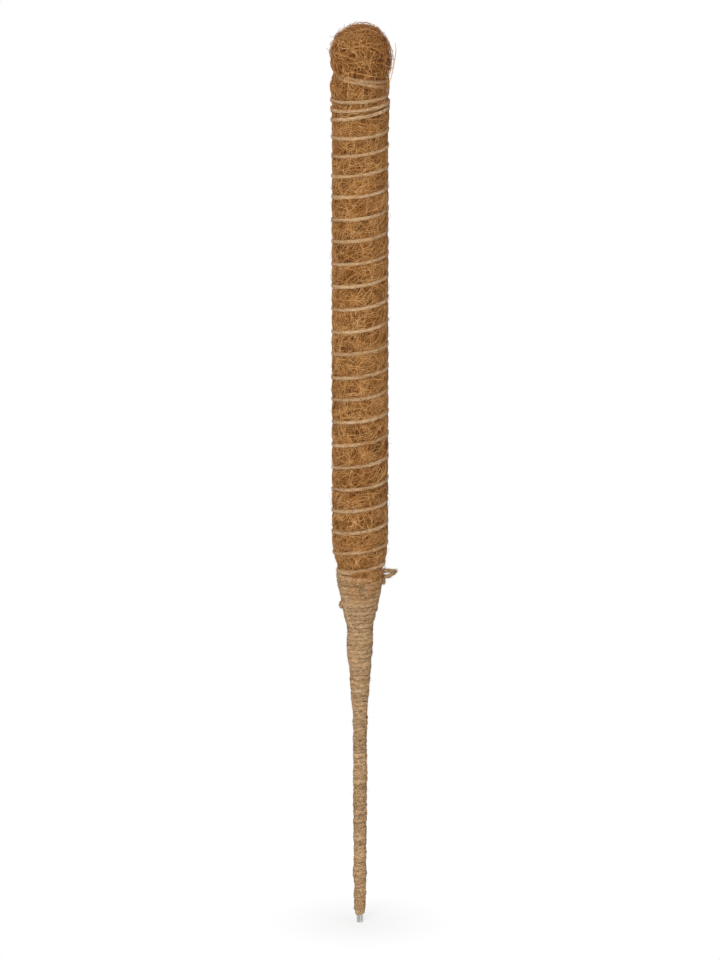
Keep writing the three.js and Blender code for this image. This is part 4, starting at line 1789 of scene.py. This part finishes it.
@dataclass
class StakeWinding:
    """The close winding that covers the stake and the cone, one hand-laid strand from tip to fleece.

    Attributes:
        form: The pole's shared forms.
        foot: Height of the first turn.
        head: Height of the last turn.
        pitch: Rise of a turn.
        last_angle: Angle at which the winding ends.
        thickness: Thickness of the laid twine.
        width: Width of the laid twine, which closes the gaps between turns.
        gap: Clearance under it.
        step: Distance between its rings.
        wander: How far a turn strays up or down.
        uneven: Share by which its size varies.
        swells: Depth of its short and of its long swells.
        swell_span: Height over which they are drawn.
        doubled: Height of the doubled stretch near the foot.
        stepped: Height of the step on the left.
        tight: Share of its thickness that it keeps near the foot, where it is pulled tight.
        tight_top: Heights between which it comes to its full thickness.
        hairs: Filaments on it.
        fuzz: Filaments that lie across its turns.
    """

    form: PoleForm
    foot: float = 4.8
    head: float = 197.4
    pitch: float = 2.48
    last_angle: float = -math.pi / 3.0
    thickness: float = 1.7
    width: float = 3.0
    gap: float = 0.25
    step: float = 0.6
    wander: float = 0.24
    uneven: float = 0.12
    swells: Range = (0.32, 0.16)
    swell_span: float = 200.0
    doubled: float = 0.35
    stepped: float = 0.4
    tight: float = 0.76
    tight_top: Range = (38.0, 64.0)
    hairs: tuple[HairKind, ...] = (
        HairKind("filaments", 5000, (1.0, 4.0), (0.1, 0.24), (0.0, 0.07), 0.25, (0.0, 1.0)),
        HairKind("hairs", 2600, (0.6, 3.0), (0.05, 0.1), (0.1, 0.7), 0.7, (0.2, 1.0)),
    )
    fuzz: StrandKind = StrandKind(
        name="stake_fuzz", seed=76, count=8800, rings=4, length=(0.8, 3.6),
        width=(0.13, 0.3), lift=(-0.16, 0.12), bend=0.9, wave=0.4, tint=(0.0, 1.0),
    )

    @property
    def total(self) -> float:
        """Counts its turns."""
        return (self.head - self.foot) / self.pitch

    def unevenness(self, angle: Array, level: Array) -> Array:
        """Adds up the hand-wound swells: a doubled stretch near the foot, a step on the left, seeded waves.

        Args:
            angle: Angles round the stake.
            level: Heights on it.

        Returns:
            How far the winding stands out.
        """
        doubled = self.doubled * smoothstep(level, 23.0, 25.0) * (1.0 - smoothstep(level, 31.0, 33.0))
        stepped = self.stepped * smoothstep(level, 145.5, 147.5) * (1.0 - smoothstep(level, 158.0, 164.0))
        wave = self.swells[0] * Unevenness(71, (5, 120))(angle / TURN, level / self.swell_span)
        slow = self.swells[1] * Unevenness(72, (2, 22))(angle / TURN, level / self.swell_span)
        return doubled + stepped * on_left(angle) + wave + slow

    def grown(self, turns: Array) -> Array:
        """Gives the share of its thickness that the twine has reached after its pulled-tight start."""
        return 0.2 + 0.35 * smoothstep(turns, 0.0, 0.6) + 0.45 * np.minimum(1.0, turns / 2.5)

    def pressed(self, level: Array) -> Array:
        """Gives the share of its thickness that the twine keeps, less near the foot."""
        return self.tight + (1.0 - self.tight) * smoothstep(level, *self.tight_top)

    def path(self, turns: Array) -> Array:
        """Winds the twine: an even rise with a wander, half a thickness over the seat, with its swells.

        Args:
            turns: Turns made so far.

        Returns:
            Points of the middle line.
        """
        total = self.total
        angle = self.last_angle + TURN * (turns - total)
        wander = self.wander * Unevenness(73, (1, 210))(0.0, turns / total)
        level = self.foot + self.pitch * turns + wander * smoothstep(turns, 0.0, 1.0)
        half = self.thickness * self.grown(turns) * self.pressed(level) / 2.0
        return polar(angle, self.form.seat(level) + self.gap + half + self.unevenness(angle, level), level)

    def run(self) -> TwineRun:
        """Lays the twine along its path in even steps, its size uneven.

        Returns:
            The twine's run.
        """
        total = self.total
        fine = np.linspace(0.0, total, 6001)
        turns = evenly(fine, self.path(fine), self.step)
        size = 1.0 + self.uneven * Unevenness(74, (1, 230))(0.0, turns / total)
        grown = self.grown(turns)
        path = self.path(turns)
        outward = outward_at(self.last_angle + TURN * (turns - total))
        thickness = self.thickness * size * grown * self.pressed(path[:, 2])
        width = self.width * size * (0.75 + 0.25 * grown)
        return TwineRun(
            "stake_twine", 75, path, outward, thickness, width, self.hairs,
            lay=4.6, plies=0.05, slant=0.06, squareness=0.45, cell_rings=60, columns=3,
        )

    def build_fuzz(self) -> Mesh:
        """Lays filaments over the turns: walked on the unrolled stake, rolled back, ends dipped in.

        Returns:
            The filaments' mesh.
        """
        draw = StrandDraw(self.fuzz)
        rng = draw.rng
        across, along = draw.course(draw.tufted(rng.normal(0.1, 0.5, draw.tufts), 0.2))
        high = rng.uniform(0.0, 1.0, draw.tufts) ** 0.75
        level = draw.tufted(self.foot + 3.0 + (self.head - self.foot - 6.0) * high, 0.4) + along
        level = np.clip(level, self.foot + 2.0, self.head)
        seat = self.form.seat(level)
        angle = draw.tufted(rng.uniform(0.0, TURN, draw.tufts), 0.1) + across / (seat + 2.0)
        ends = draw.ends
        face = seat + self.gap + self.thickness * self.pressed(level) + self.unevenness(angle, level)
        radius = face + draw.lift * (1.0 - ends**2) - 0.25 * ends**4
        return draw.mesh(polar(angle, radius, level), outward_at(angle))

    def dress(self, palette: Palette) -> None:
        """Adds the winding and the filaments across it."""
        self.run().dress(palette.winding, palette.hair, ("stake_winding",))
        add_piece(self.build_fuzz(), palette.hair)


@dataclass
class NeckLashing:
    """The two turns of twine that tie the dome's neck.

    Attributes:
        form: The pole's shared forms.
        level: Height of the lashing's middle.
        pitch: Rise of a turn on the right; the two turns run together on the left.
        turns: Turns of the lashing.
        tuck: How far its two ends go into the coir.
        thickness: Thickness of the laid twine.
        width: Its width.
        rings: Rings along it.
        hairs: Filaments on it.
    """

    form: PoleForm
    level: float = 471.4
    pitch: float = 2.4
    turns: float = 2.0
    tuck: float = 1.4
    thickness: float = 1.75
    width: float = 2.15
    rings: int = 330
    hairs: tuple[HairKind, ...] = (
        HairKind("filaments", 600, (2.0, 6.0), (0.06, 0.17), (0.0, 0.1), 0.35, (0.0, 1.0)),
        HairKind("hairs", 400, (0.6, 2.4), (0.04, 0.08), (0.15, 0.7), 0.6, (0.3, 1.0)),
    )

    def run(self) -> TwineRun:
        """Winds two turns round the slanted neck: angle 2 pi t, a rise that closes on the left, tucked ends.

        Returns:
            The twine's run.
        """
        turns = np.linspace(0.0, self.turns, self.rings)
        share = turns / self.turns
        angle = TURN * turns
        tucked = 1.0 - smoothstep(turns, 0.0, 0.05) + smoothstep(turns, self.turns - 0.05, self.turns)
        wander = 0.15 * Unevenness(81, (1, 17))(0.0, share)
        radius = self.form.lashing_radius(angle) - self.tuck * tucked + wander
        apart = 0.5 + 0.25 * (1.0 + np.cos(angle))
        climb = self.pitch * apart * (turns - self.turns / 2.0) + 0.2 * Unevenness(82, (1, 13))(0.0, share)
        height = self.level + climb - self.form.neck_drop(radius * np.cos(angle), self.level)
        size = np.ones_like(turns)
        return TwineRun(
            "lashing_twine", 83, polar(angle, radius, height), outward_at(angle), self.thickness * size,
            self.width * size, self.hairs, cell_rings=83,
        )

    def dress(self, palette: Palette) -> None:
        """Adds the lashing."""
        self.run().dress(palette.winding, palette.hair, ("neck_lashing",))


@dataclass
class TwineKnot:
    """A small overhand knot of twine, pulled flat against what it holds.

    Attributes:
        name: Name of its piece.
        node: The CAD node that it stands for.
        angle: Where it sits round the pole.
        level: Height of its middle.
        radius: Distance of its middle from the axis.
        flatness: Its depth against its width.
        size: Radius of its loops.
        strand: Thickness of its strand.
        hairs: Filaments on it.
    """

    name: str
    node: str
    angle: float
    level: float
    radius: float
    flatness: float
    size: float = 1.1
    strand: float = 1.2
    hairs: tuple[HairKind, ...] = (HairKind("hairs", 120, (0.8, 2.4), (0.05, 0.1), (0.05, 0.7), 0.6),)

    def run(self) -> TwineRun:
        """Follows a trefoil, (2 + cos 1.5u) / 2 round the knot's face, with a sine of 1.5u as its depth.

        Returns:
            The twine's run.
        """
        u = np.linspace(0.0, 2.0 * TURN, 130)
        reach = self.size * (2.0 + np.cos(1.5 * u)) / 2.0
        depth = self.size * np.sin(1.5 * u) / 2.0 * self.flatness
        outward = np.array((math.cos(self.angle), math.sin(self.angle), 0.0))
        sideways = np.array((-outward[1], outward[0], 0.0))
        upright = np.array((0.0, 0.0, -1.0))
        middle = self.radius * outward + np.array((0.0, 0.0, self.level))
        face = reach[:, None] * (np.cos(u)[:, None] * upright + np.sin(u)[:, None] * sideways)
        path = middle + face + depth[:, None] * outward
        size = self.strand * np.ones_like(u)
        hint = np.broadcast_to(outward, path.shape)
        return TwineRun(self.name, 90, path, hint, size, size, self.hairs, lay=4.0, sides=9, cell_rings=65)

    def dress(self, palette: Palette) -> None:
        """Adds the knot."""
        self.run().dress(palette.winding, palette.hair, (self.node,))


@dataclass
class TieOffTail:
    """The tied-off tail at the top of the cone: two strands that meet in a loop and fray at the end.

    Attributes:
        lower: Points that the lower strand passes through, out to the frayed end.
        upper: Points that the upper strand passes through, down into the lower one.
        strand: Thickness of the strands.
        fray: Filaments of the frayed end.
        hairs: Filaments on the strands.
    """

    lower: Route = ((12.4, -1.6, 196.7), (15.0, -2.0, 196.6), (16.7, -2.0, 197.5), (18.9, -1.8, 199.0))
    upper: Route = ((11.9, -2.4, 199.6), (14.8, -2.3, 199.9), (17.0, -2.1, 199.8), (19.0, -2.0, 199.5))
    strand: float = 1.85
    fray: int = 150
    hairs: tuple[HairKind, ...] = (HairKind("hairs", 160, (0.8, 2.6), (0.05, 0.1), (0.05, 0.7), 0.5),)

    def strand_run(self, name: str, seed: int, points: Route) -> TwineRun:
        """Carries a twine along a smooth route through points.

        Args:
            name: Name of the strand's piece.
            seed: Seed of its unevenness.
            points: The points.

        Returns:
            The twine's run.
        """
        path = smooth_route(points, 40)
        share = np.linspace(0.0, 1.0, len(path))
        size = self.strand * (1.0 + 0.12 * np.sin(math.pi * share))
        hint = np.broadcast_to((0.0, -1.0, 0.0), path.shape)
        return TwineRun(name, seed, path, hint, size, size, self.hairs, lay=4.5, cell_rings=39)

    def build_fray(self) -> Mesh:
        """Fans filaments out of the strand's end: tip + l (d s + c s^2), spread as a seeded cone.

        Returns:
            The filaments' mesh.
        """
        rng = np.random.default_rng(95)
        tip = np.array(self.lower[-1])
        heading = unit(tip - np.array(self.lower[-2]))
        spread = rng.normal(0.0, 0.5, (self.fray, 3))
        length = rng.uniform(0.5, 1.5, self.fray)[:, None, None]
        share = np.linspace(-0.4, 1.0, 5)[None, :, None]
        root = tip - 0.7 * heading + 0.45 * unit(spread)
        bent = share * (heading + spread)[:, None] + share**2 * rng.normal(0.0, 0.2, (self.fray, 1, 3))
        half = rng.uniform(0.05, 0.11, self.fray)[:, None] * np.linspace(1.0, 0.5, 5)[None]
        tints = rng.uniform(0.0, 0.6, self.fray)[:, None] * np.ones((1, 5))
        paths = root[:, None] + length * bent
        hint = np.broadcast_to(np.cross(heading, (0.0, 0.0, 1.0)), paths.shape)
        return Tubes(paths, hint, half, half, 3, tints).mesh("tail_fray", 4, 6)

    def dress(self, palette: Palette) -> None:
        """Adds both strands and the frayed end."""
        lower = self.strand_run("tail_lower_strand", 91, self.lower)
        lower.dress(palette.winding, palette.hair, ("tie_off_tail",))
        self.strand_run("tail_upper_strand", 93, self.upper).dress(palette.winding, palette.hair, ())
        add_piece(self.build_fray(), palette.hair)


@dataclass
class LooseFibres:
    """Single coir fibres that lie where the hand left them, and the tangle on the cone's front.

    Attributes:
        form: The pole's shared forms.
        tangle: Strands of the tangle under the first turn of the spiral.
        tangle_place: Middle and spread of its angle, then of its height.
        wisps: Thin strands over the upper cone.
        wisps_place: Middle and spread of their angle, then of their height.
        beside_dome: Route of the thick fibre that stands up beside the dome.
        over_neck: Front view of the fibre that lies across the neck.
        down_neck: Front view of the fibre that hangs over the lashing.
        down_cone: Front view of the pale fibre on the cone.
        curls: Middle of each small curl on the cone, across and up, and its radius.
        curl_strands: Strands in one curl.
        unrolled: Radius at which the cone is unrolled.
        span: Heights between which the tangle and the wisps lie.
        clearance: Height of their middles over the seat.
    """

    form: PoleForm
    tangle: StrandKind = StrandKind(
        name="cone_tangle", seed=58, count=170, rings=14, length=(4.0, 13.0),
        width=(0.1, 0.22), lift=(-0.4, 0.4), bend=2.4, wave=0.9, tint=(0.0, 0.95), tuft=2, columns=8,
    )
    tangle_place: tuple[float, float, float, float] = (-1.1, 0.42, 199.0, 1.3)
    wisps: StrandKind = StrandKind(
        name="cone_wisps", seed=59, count=70, rings=14, length=(5.0, 17.0),
        width=(0.1, 0.2), lift=(0.0, 0.4), bend=2.4, wave=0.8, tint=(0.3, 1.0), tuft=1, columns=8,
    )
    wisps_place: tuple[float, float, float, float] = (-1.3, 0.6, 191.0, 4.6)
    beside_dome: Route = (
        (14.2, -3.0, 466.8), (15.6, -3.0, 469.4), (17.2, -2.6, 475.0), (18.5, -2.2, 481.5),
        (19.2, -2.0, 487.0), (18.9, -2.0, 491.0),
    )
    over_neck: Outline = (
        (-11.4, 472.6), (-9.0, 475.6), (-6.0, 477.2), (-2.0, 477.4), (2.0, 476.4), (6.0, 475.4),
        (10.0, 474.6),
    )
    down_neck: Outline = ((-6.0, 477.6), (-6.1, 473.6), (-6.4, 468.8), (-6.9, 464.4))
    down_cone: Outline = (
        (-7.1, 187.0), (-7.5, 181.0), (-6.8, 175.0), (-4.8, 170.4), (-2.8, 167.6), (-0.8, 165.6),
    )
    curls: tuple[Point, ...] = ((1.6, 190.8, 1.45), (-0.8, 193.4, 0.8))
    curl_strands: int = 11
    unrolled: float = 12.5
    span: Range = (176.0, 203.0)
    clearance: float = 2.1

    def build_tangle(self, kind: StrandKind, place: tuple[float, float, float, float]) -> Mesh:
        """Lays curly strands on the winding: walked on the unrolled cone, rolled back, raised by their lift.

        Args:
            kind: The kind of strand.
            place: Middle and spread of the strands' angle, then of their height.

        Returns:
            The strands' mesh.
        """
        draw = StrandDraw(kind)
        rng = draw.rng
        across, along = draw.course(draw.tufted(rng.uniform(0.0, TURN, draw.tufts), 0.3))
        middle = draw.tufted(rng.normal(*place[:2], draw.tufts), 0.05)
        level = np.clip(draw.tufted(rng.normal(*place[2:], draw.tufts), 0.6) + along, *self.span)
        angle = middle + across / self.unrolled
        ends = draw.ends
        radius = self.form.seat(level) + self.clearance + draw.lift * (1.0 - ends**4) - 0.5 * ends**4
        return draw.mesh(polar(angle, radius, level), outward_at(angle))

    def build_fibre(self, name: str, points: Sequence[Point], width: float, tint: float) -> Mesh:
        """Carries one fibre along a smooth route through points, thinner at its ends.

        Args:
            name: Name of its piece.
            points: The points.
            width: Its thickness.
            tint: Its tint.

        Returns:
            The fibre's mesh.
        """
        path = smooth_route(points, 8 * len(points))[None]
        share = np.linspace(-1.0, 1.0, path.shape[1])[None]
        half = width / 2.0 * (1.0 - 0.5 * np.abs(share) ** 3)
        hint = np.broadcast_to((0.3, -1.0, 0.1), path.shape)
        return Tubes(path, hint, half, half, 6, tint * np.ones_like(half)).mesh(name, path.shape[1], 1)

    def on_front(self, places: Array | Outline, clearance: Array | float) -> Array:
        """Puts front-view places on the pole's face: y = -sqrt((r + c)^2 - x^2).

        Args:
            places: Places across and up.
            clearance: Height over the seat.

        Returns:
            The points in space.
        """
        across, level = np.moveaxis(np.asarray(places), -1, 0)
        radius = self.form.seat(level) + clearance
        depth = -np.sqrt(np.maximum(radius**2 - across**2, 0.0))
        return np.stack((across, depth, level), axis=-1)

    def build_curls(self) -> Mesh:
        """Winds thin strands round each curl's middle: (x + r cos s, z + 0.85 r sin s).

        Every strand has a middle, a radius, a start and a length of its own.

        Returns:
            The curls' mesh.
        """
        rng = np.random.default_rng(96)
        across, level, radius = np.repeat(self.curls, self.curl_strands, axis=0).T[..., None]
        wound = rng.uniform(0.25, 0.8, across.shape) * TURN
        spin = rng.uniform(0.0, TURN, across.shape) + wound * np.linspace(0.0, 1.0, 18)
        reach = radius * rng.normal(1.0, 0.3, across.shape) * np.linspace(1.25, 0.75, 18)
        across = across + 0.4 * radius * rng.normal(size=across.shape)
        level = level + 0.4 * radius * rng.normal(size=level.shape)
        places = np.stack((across + reach * np.cos(spin), level + 0.85 * reach * np.sin(spin)), axis=-1)
        paths = self.on_front(places, rng.uniform(2.0, 2.6, across.shape))
        half = rng.uniform(0.07, 0.14, across.shape) * np.ones((1, 18))
        tints = rng.uniform(0.0, 0.8, across.shape) * np.ones((1, 18))
        hint = np.broadcast_to((0.0, -1.0, 0.0), paths.shape)
        return Tubes(paths, hint, half, half, 4, tints).mesh("cone_curls", 17, 6)

    def dress(self, palette: Palette) -> None:
        """Adds the tangle and the single fibres."""
        add_piece(self.build_tangle(self.tangle, self.tangle_place), palette.strand)
        add_piece(self.build_tangle(self.wisps, self.wisps_place), palette.strand)
        singles = (
            ("stray_dome_side", self.beside_dome, 0.5, 0.9),
            ("stray_neck_arc", self.on_front(self.over_neck, 2.7), 0.36, 0.8),
            ("stray_neck_upright", self.on_front(self.down_neck, 2.6), 0.38, 0.8),
        )
        for name, points, width, tint in singles:
            add_piece(self.build_fibre(name, points, width, tint), palette.strand)
        pale = self.build_fibre("stray_cone_front", self.on_front(self.down_cone, 2.35), 0.26, 0.9)
        add_piece(pale, palette.hair)
        add_piece(self.build_curls(), palette.hair)


@dataclass
class Studio:
    """The floor, the light and the camera.

    Attributes:
        floor_reach: Half the floor's width, in metres.
        lens: Focal length of the camera, for a sensor as tall as the picture.
        sensor: The sensor's long side.
        elevation: How far the camera looks down, in degrees.
        frame_height: Height that the picture shows at the pole.
        sky: Strength of the even light.
        aim: Height at which the lamps point, in metres.
        lamps: Name, place in metres, side and power in watts of each soft lamp.
    """

    floor_reach: float = 12.0
    lens: float = 300.0
    sensor: float = 36.0
    elevation: float = 14.0
    frame_height: float = 0.52
    sky: float = 0.42
    aim: float = 0.27
    lamps: tuple[tuple[str, Point, float, float], ...] = (
        ("key_front_left", (-0.7, -2.2, 1.35), 0.9, 38.0),
        ("fill_front_right", (1.5, -1.5, 1.9), 1.4, 7.0),
        ("fill_behind", (-0.4, 2.4, 1.2), 1.8, 10.0),
    )

    def floor(self) -> None:
        """Lays a flat grid of four quads under the pole as the stage."""
        side = np.linspace(-self.floor_reach, self.floor_reach, 3) / MM
        x, y = np.meshgrid(side, side)
        points = np.stack((x, y, np.zeros_like(x)), axis=-1).reshape(-1, 3)
        number = np.arange(9).reshape(3, 3)
        corners = (number[:-1, :-1], number[:-1, 1:], number[1:, 1:], number[1:, :-1])
        quads = np.stack(corners, axis=-1).reshape(-1, 4)
        places = points[quads][..., :2]
        mesh = make_mesh("studio_floor", points, [Faces(quads, {Layer.LAY.value: places})], np.array(0.5))
        mesh.materials.append(PaleFloorFinish().material())
        floor = bpy.data.objects.new(mesh.name, mesh)
        bpy.context.scene.collection.objects.link(floor)

    def lamp(self, name: str, place: Point, size: float, power: float) -> None:
        """Hangs a square soft lamp that faces the pole's middle.

        Args:
            name: The lamp's name.
            place: Where it hangs, in metres.
            size: Its side.
            power: Its power in watts.
        """
        light = bpy.data.lights.new(name, "AREA")
        light.size = size
        light.energy = power
        lamp = bpy.data.objects.new(name, light)
        lamp.location = place
        way = Vector((0.0, 0.0, self.aim)) - Vector(place)
        lamp.rotation_euler = way.to_track_quat("-Z", "Y").to_euler()
        bpy.context.scene.collection.objects.link(lamp)

    def world(self) -> None:
        """Makes a white world that lights the pole evenly and looks plain white."""
        shader = Shader(bpy.data.worlds.new("studio_white"))
        strength = shader.seen().between((self.sky, 1.0))
        light = shader.node("ShaderNodeBackground", sockets={"Color": WHITE, "Strength": strength})
        bpy.context.scene.world = shader.finish(light)

    def camera(self) -> None:
        """Stands the camera in front, so far off that the picture's height holds the pole."""
        data = bpy.data.cameras.new("front_camera")
        data.lens = self.lens
        data.sensor_width = self.sensor
        data.clip_end = 60.0
        low, high = CAD_BOX
        middle = Vector((0.0, 0.0, (low.z + high.z) / 2.0))
        distance = self.frame_height * self.lens / self.sensor
        tilt = math.radians(self.elevation)
        back = Vector((0.0, -math.cos(tilt), math.sin(tilt)))
        camera = bpy.data.objects.new(data.name, data)
        camera.location = middle + back * distance
        camera.rotation_euler = (-back).to_track_quat("-Z", "Y").to_euler()
        bpy.context.scene.collection.objects.link(camera)
        bpy.context.scene.camera = camera

    def build(self) -> None:
        """Sets up floor, lamps, world, camera and the plain view transform."""
        self.floor()
        for lamp in self.lamps:
            self.lamp(*lamp)
        self.world()
        self.camera()
        bpy.context.scene.view_settings.view_transform = "Standard"


def main() -> None:
    """Builds the studio and every sub-assembly in order."""
    logging.basicConfig(level=logging.INFO, format="%(message)s")
    form = PoleForm()
    Studio().build()
    palette = Palette.mixed()
    assemblies = (
        CoreRod(),
        CoirFilling(form),
        CoirFleece(form),
        CoirCap(form),
        SpiralBinding(form),
        StakeWinding(form),
        NeckLashing(form),
        TwineKnot("tie_off_twine_knot", "tie_off_knot", -0.12, 194.0, 12.9, 0.7),
        TwineKnot("splice_twine_knot", "splice_knot", math.pi + 0.15, 180.6, 10.35, 0.6),
        TwineKnot("neck_twine_knot", "neck_knot", 0.6, 468.6, 15.7, 0.7),
        TieOffTail(),
        LooseFibres(form),
    )
    for assembly in assemblies:
        assembly.dress(palette)


if __name__ == "__main__":
    main()
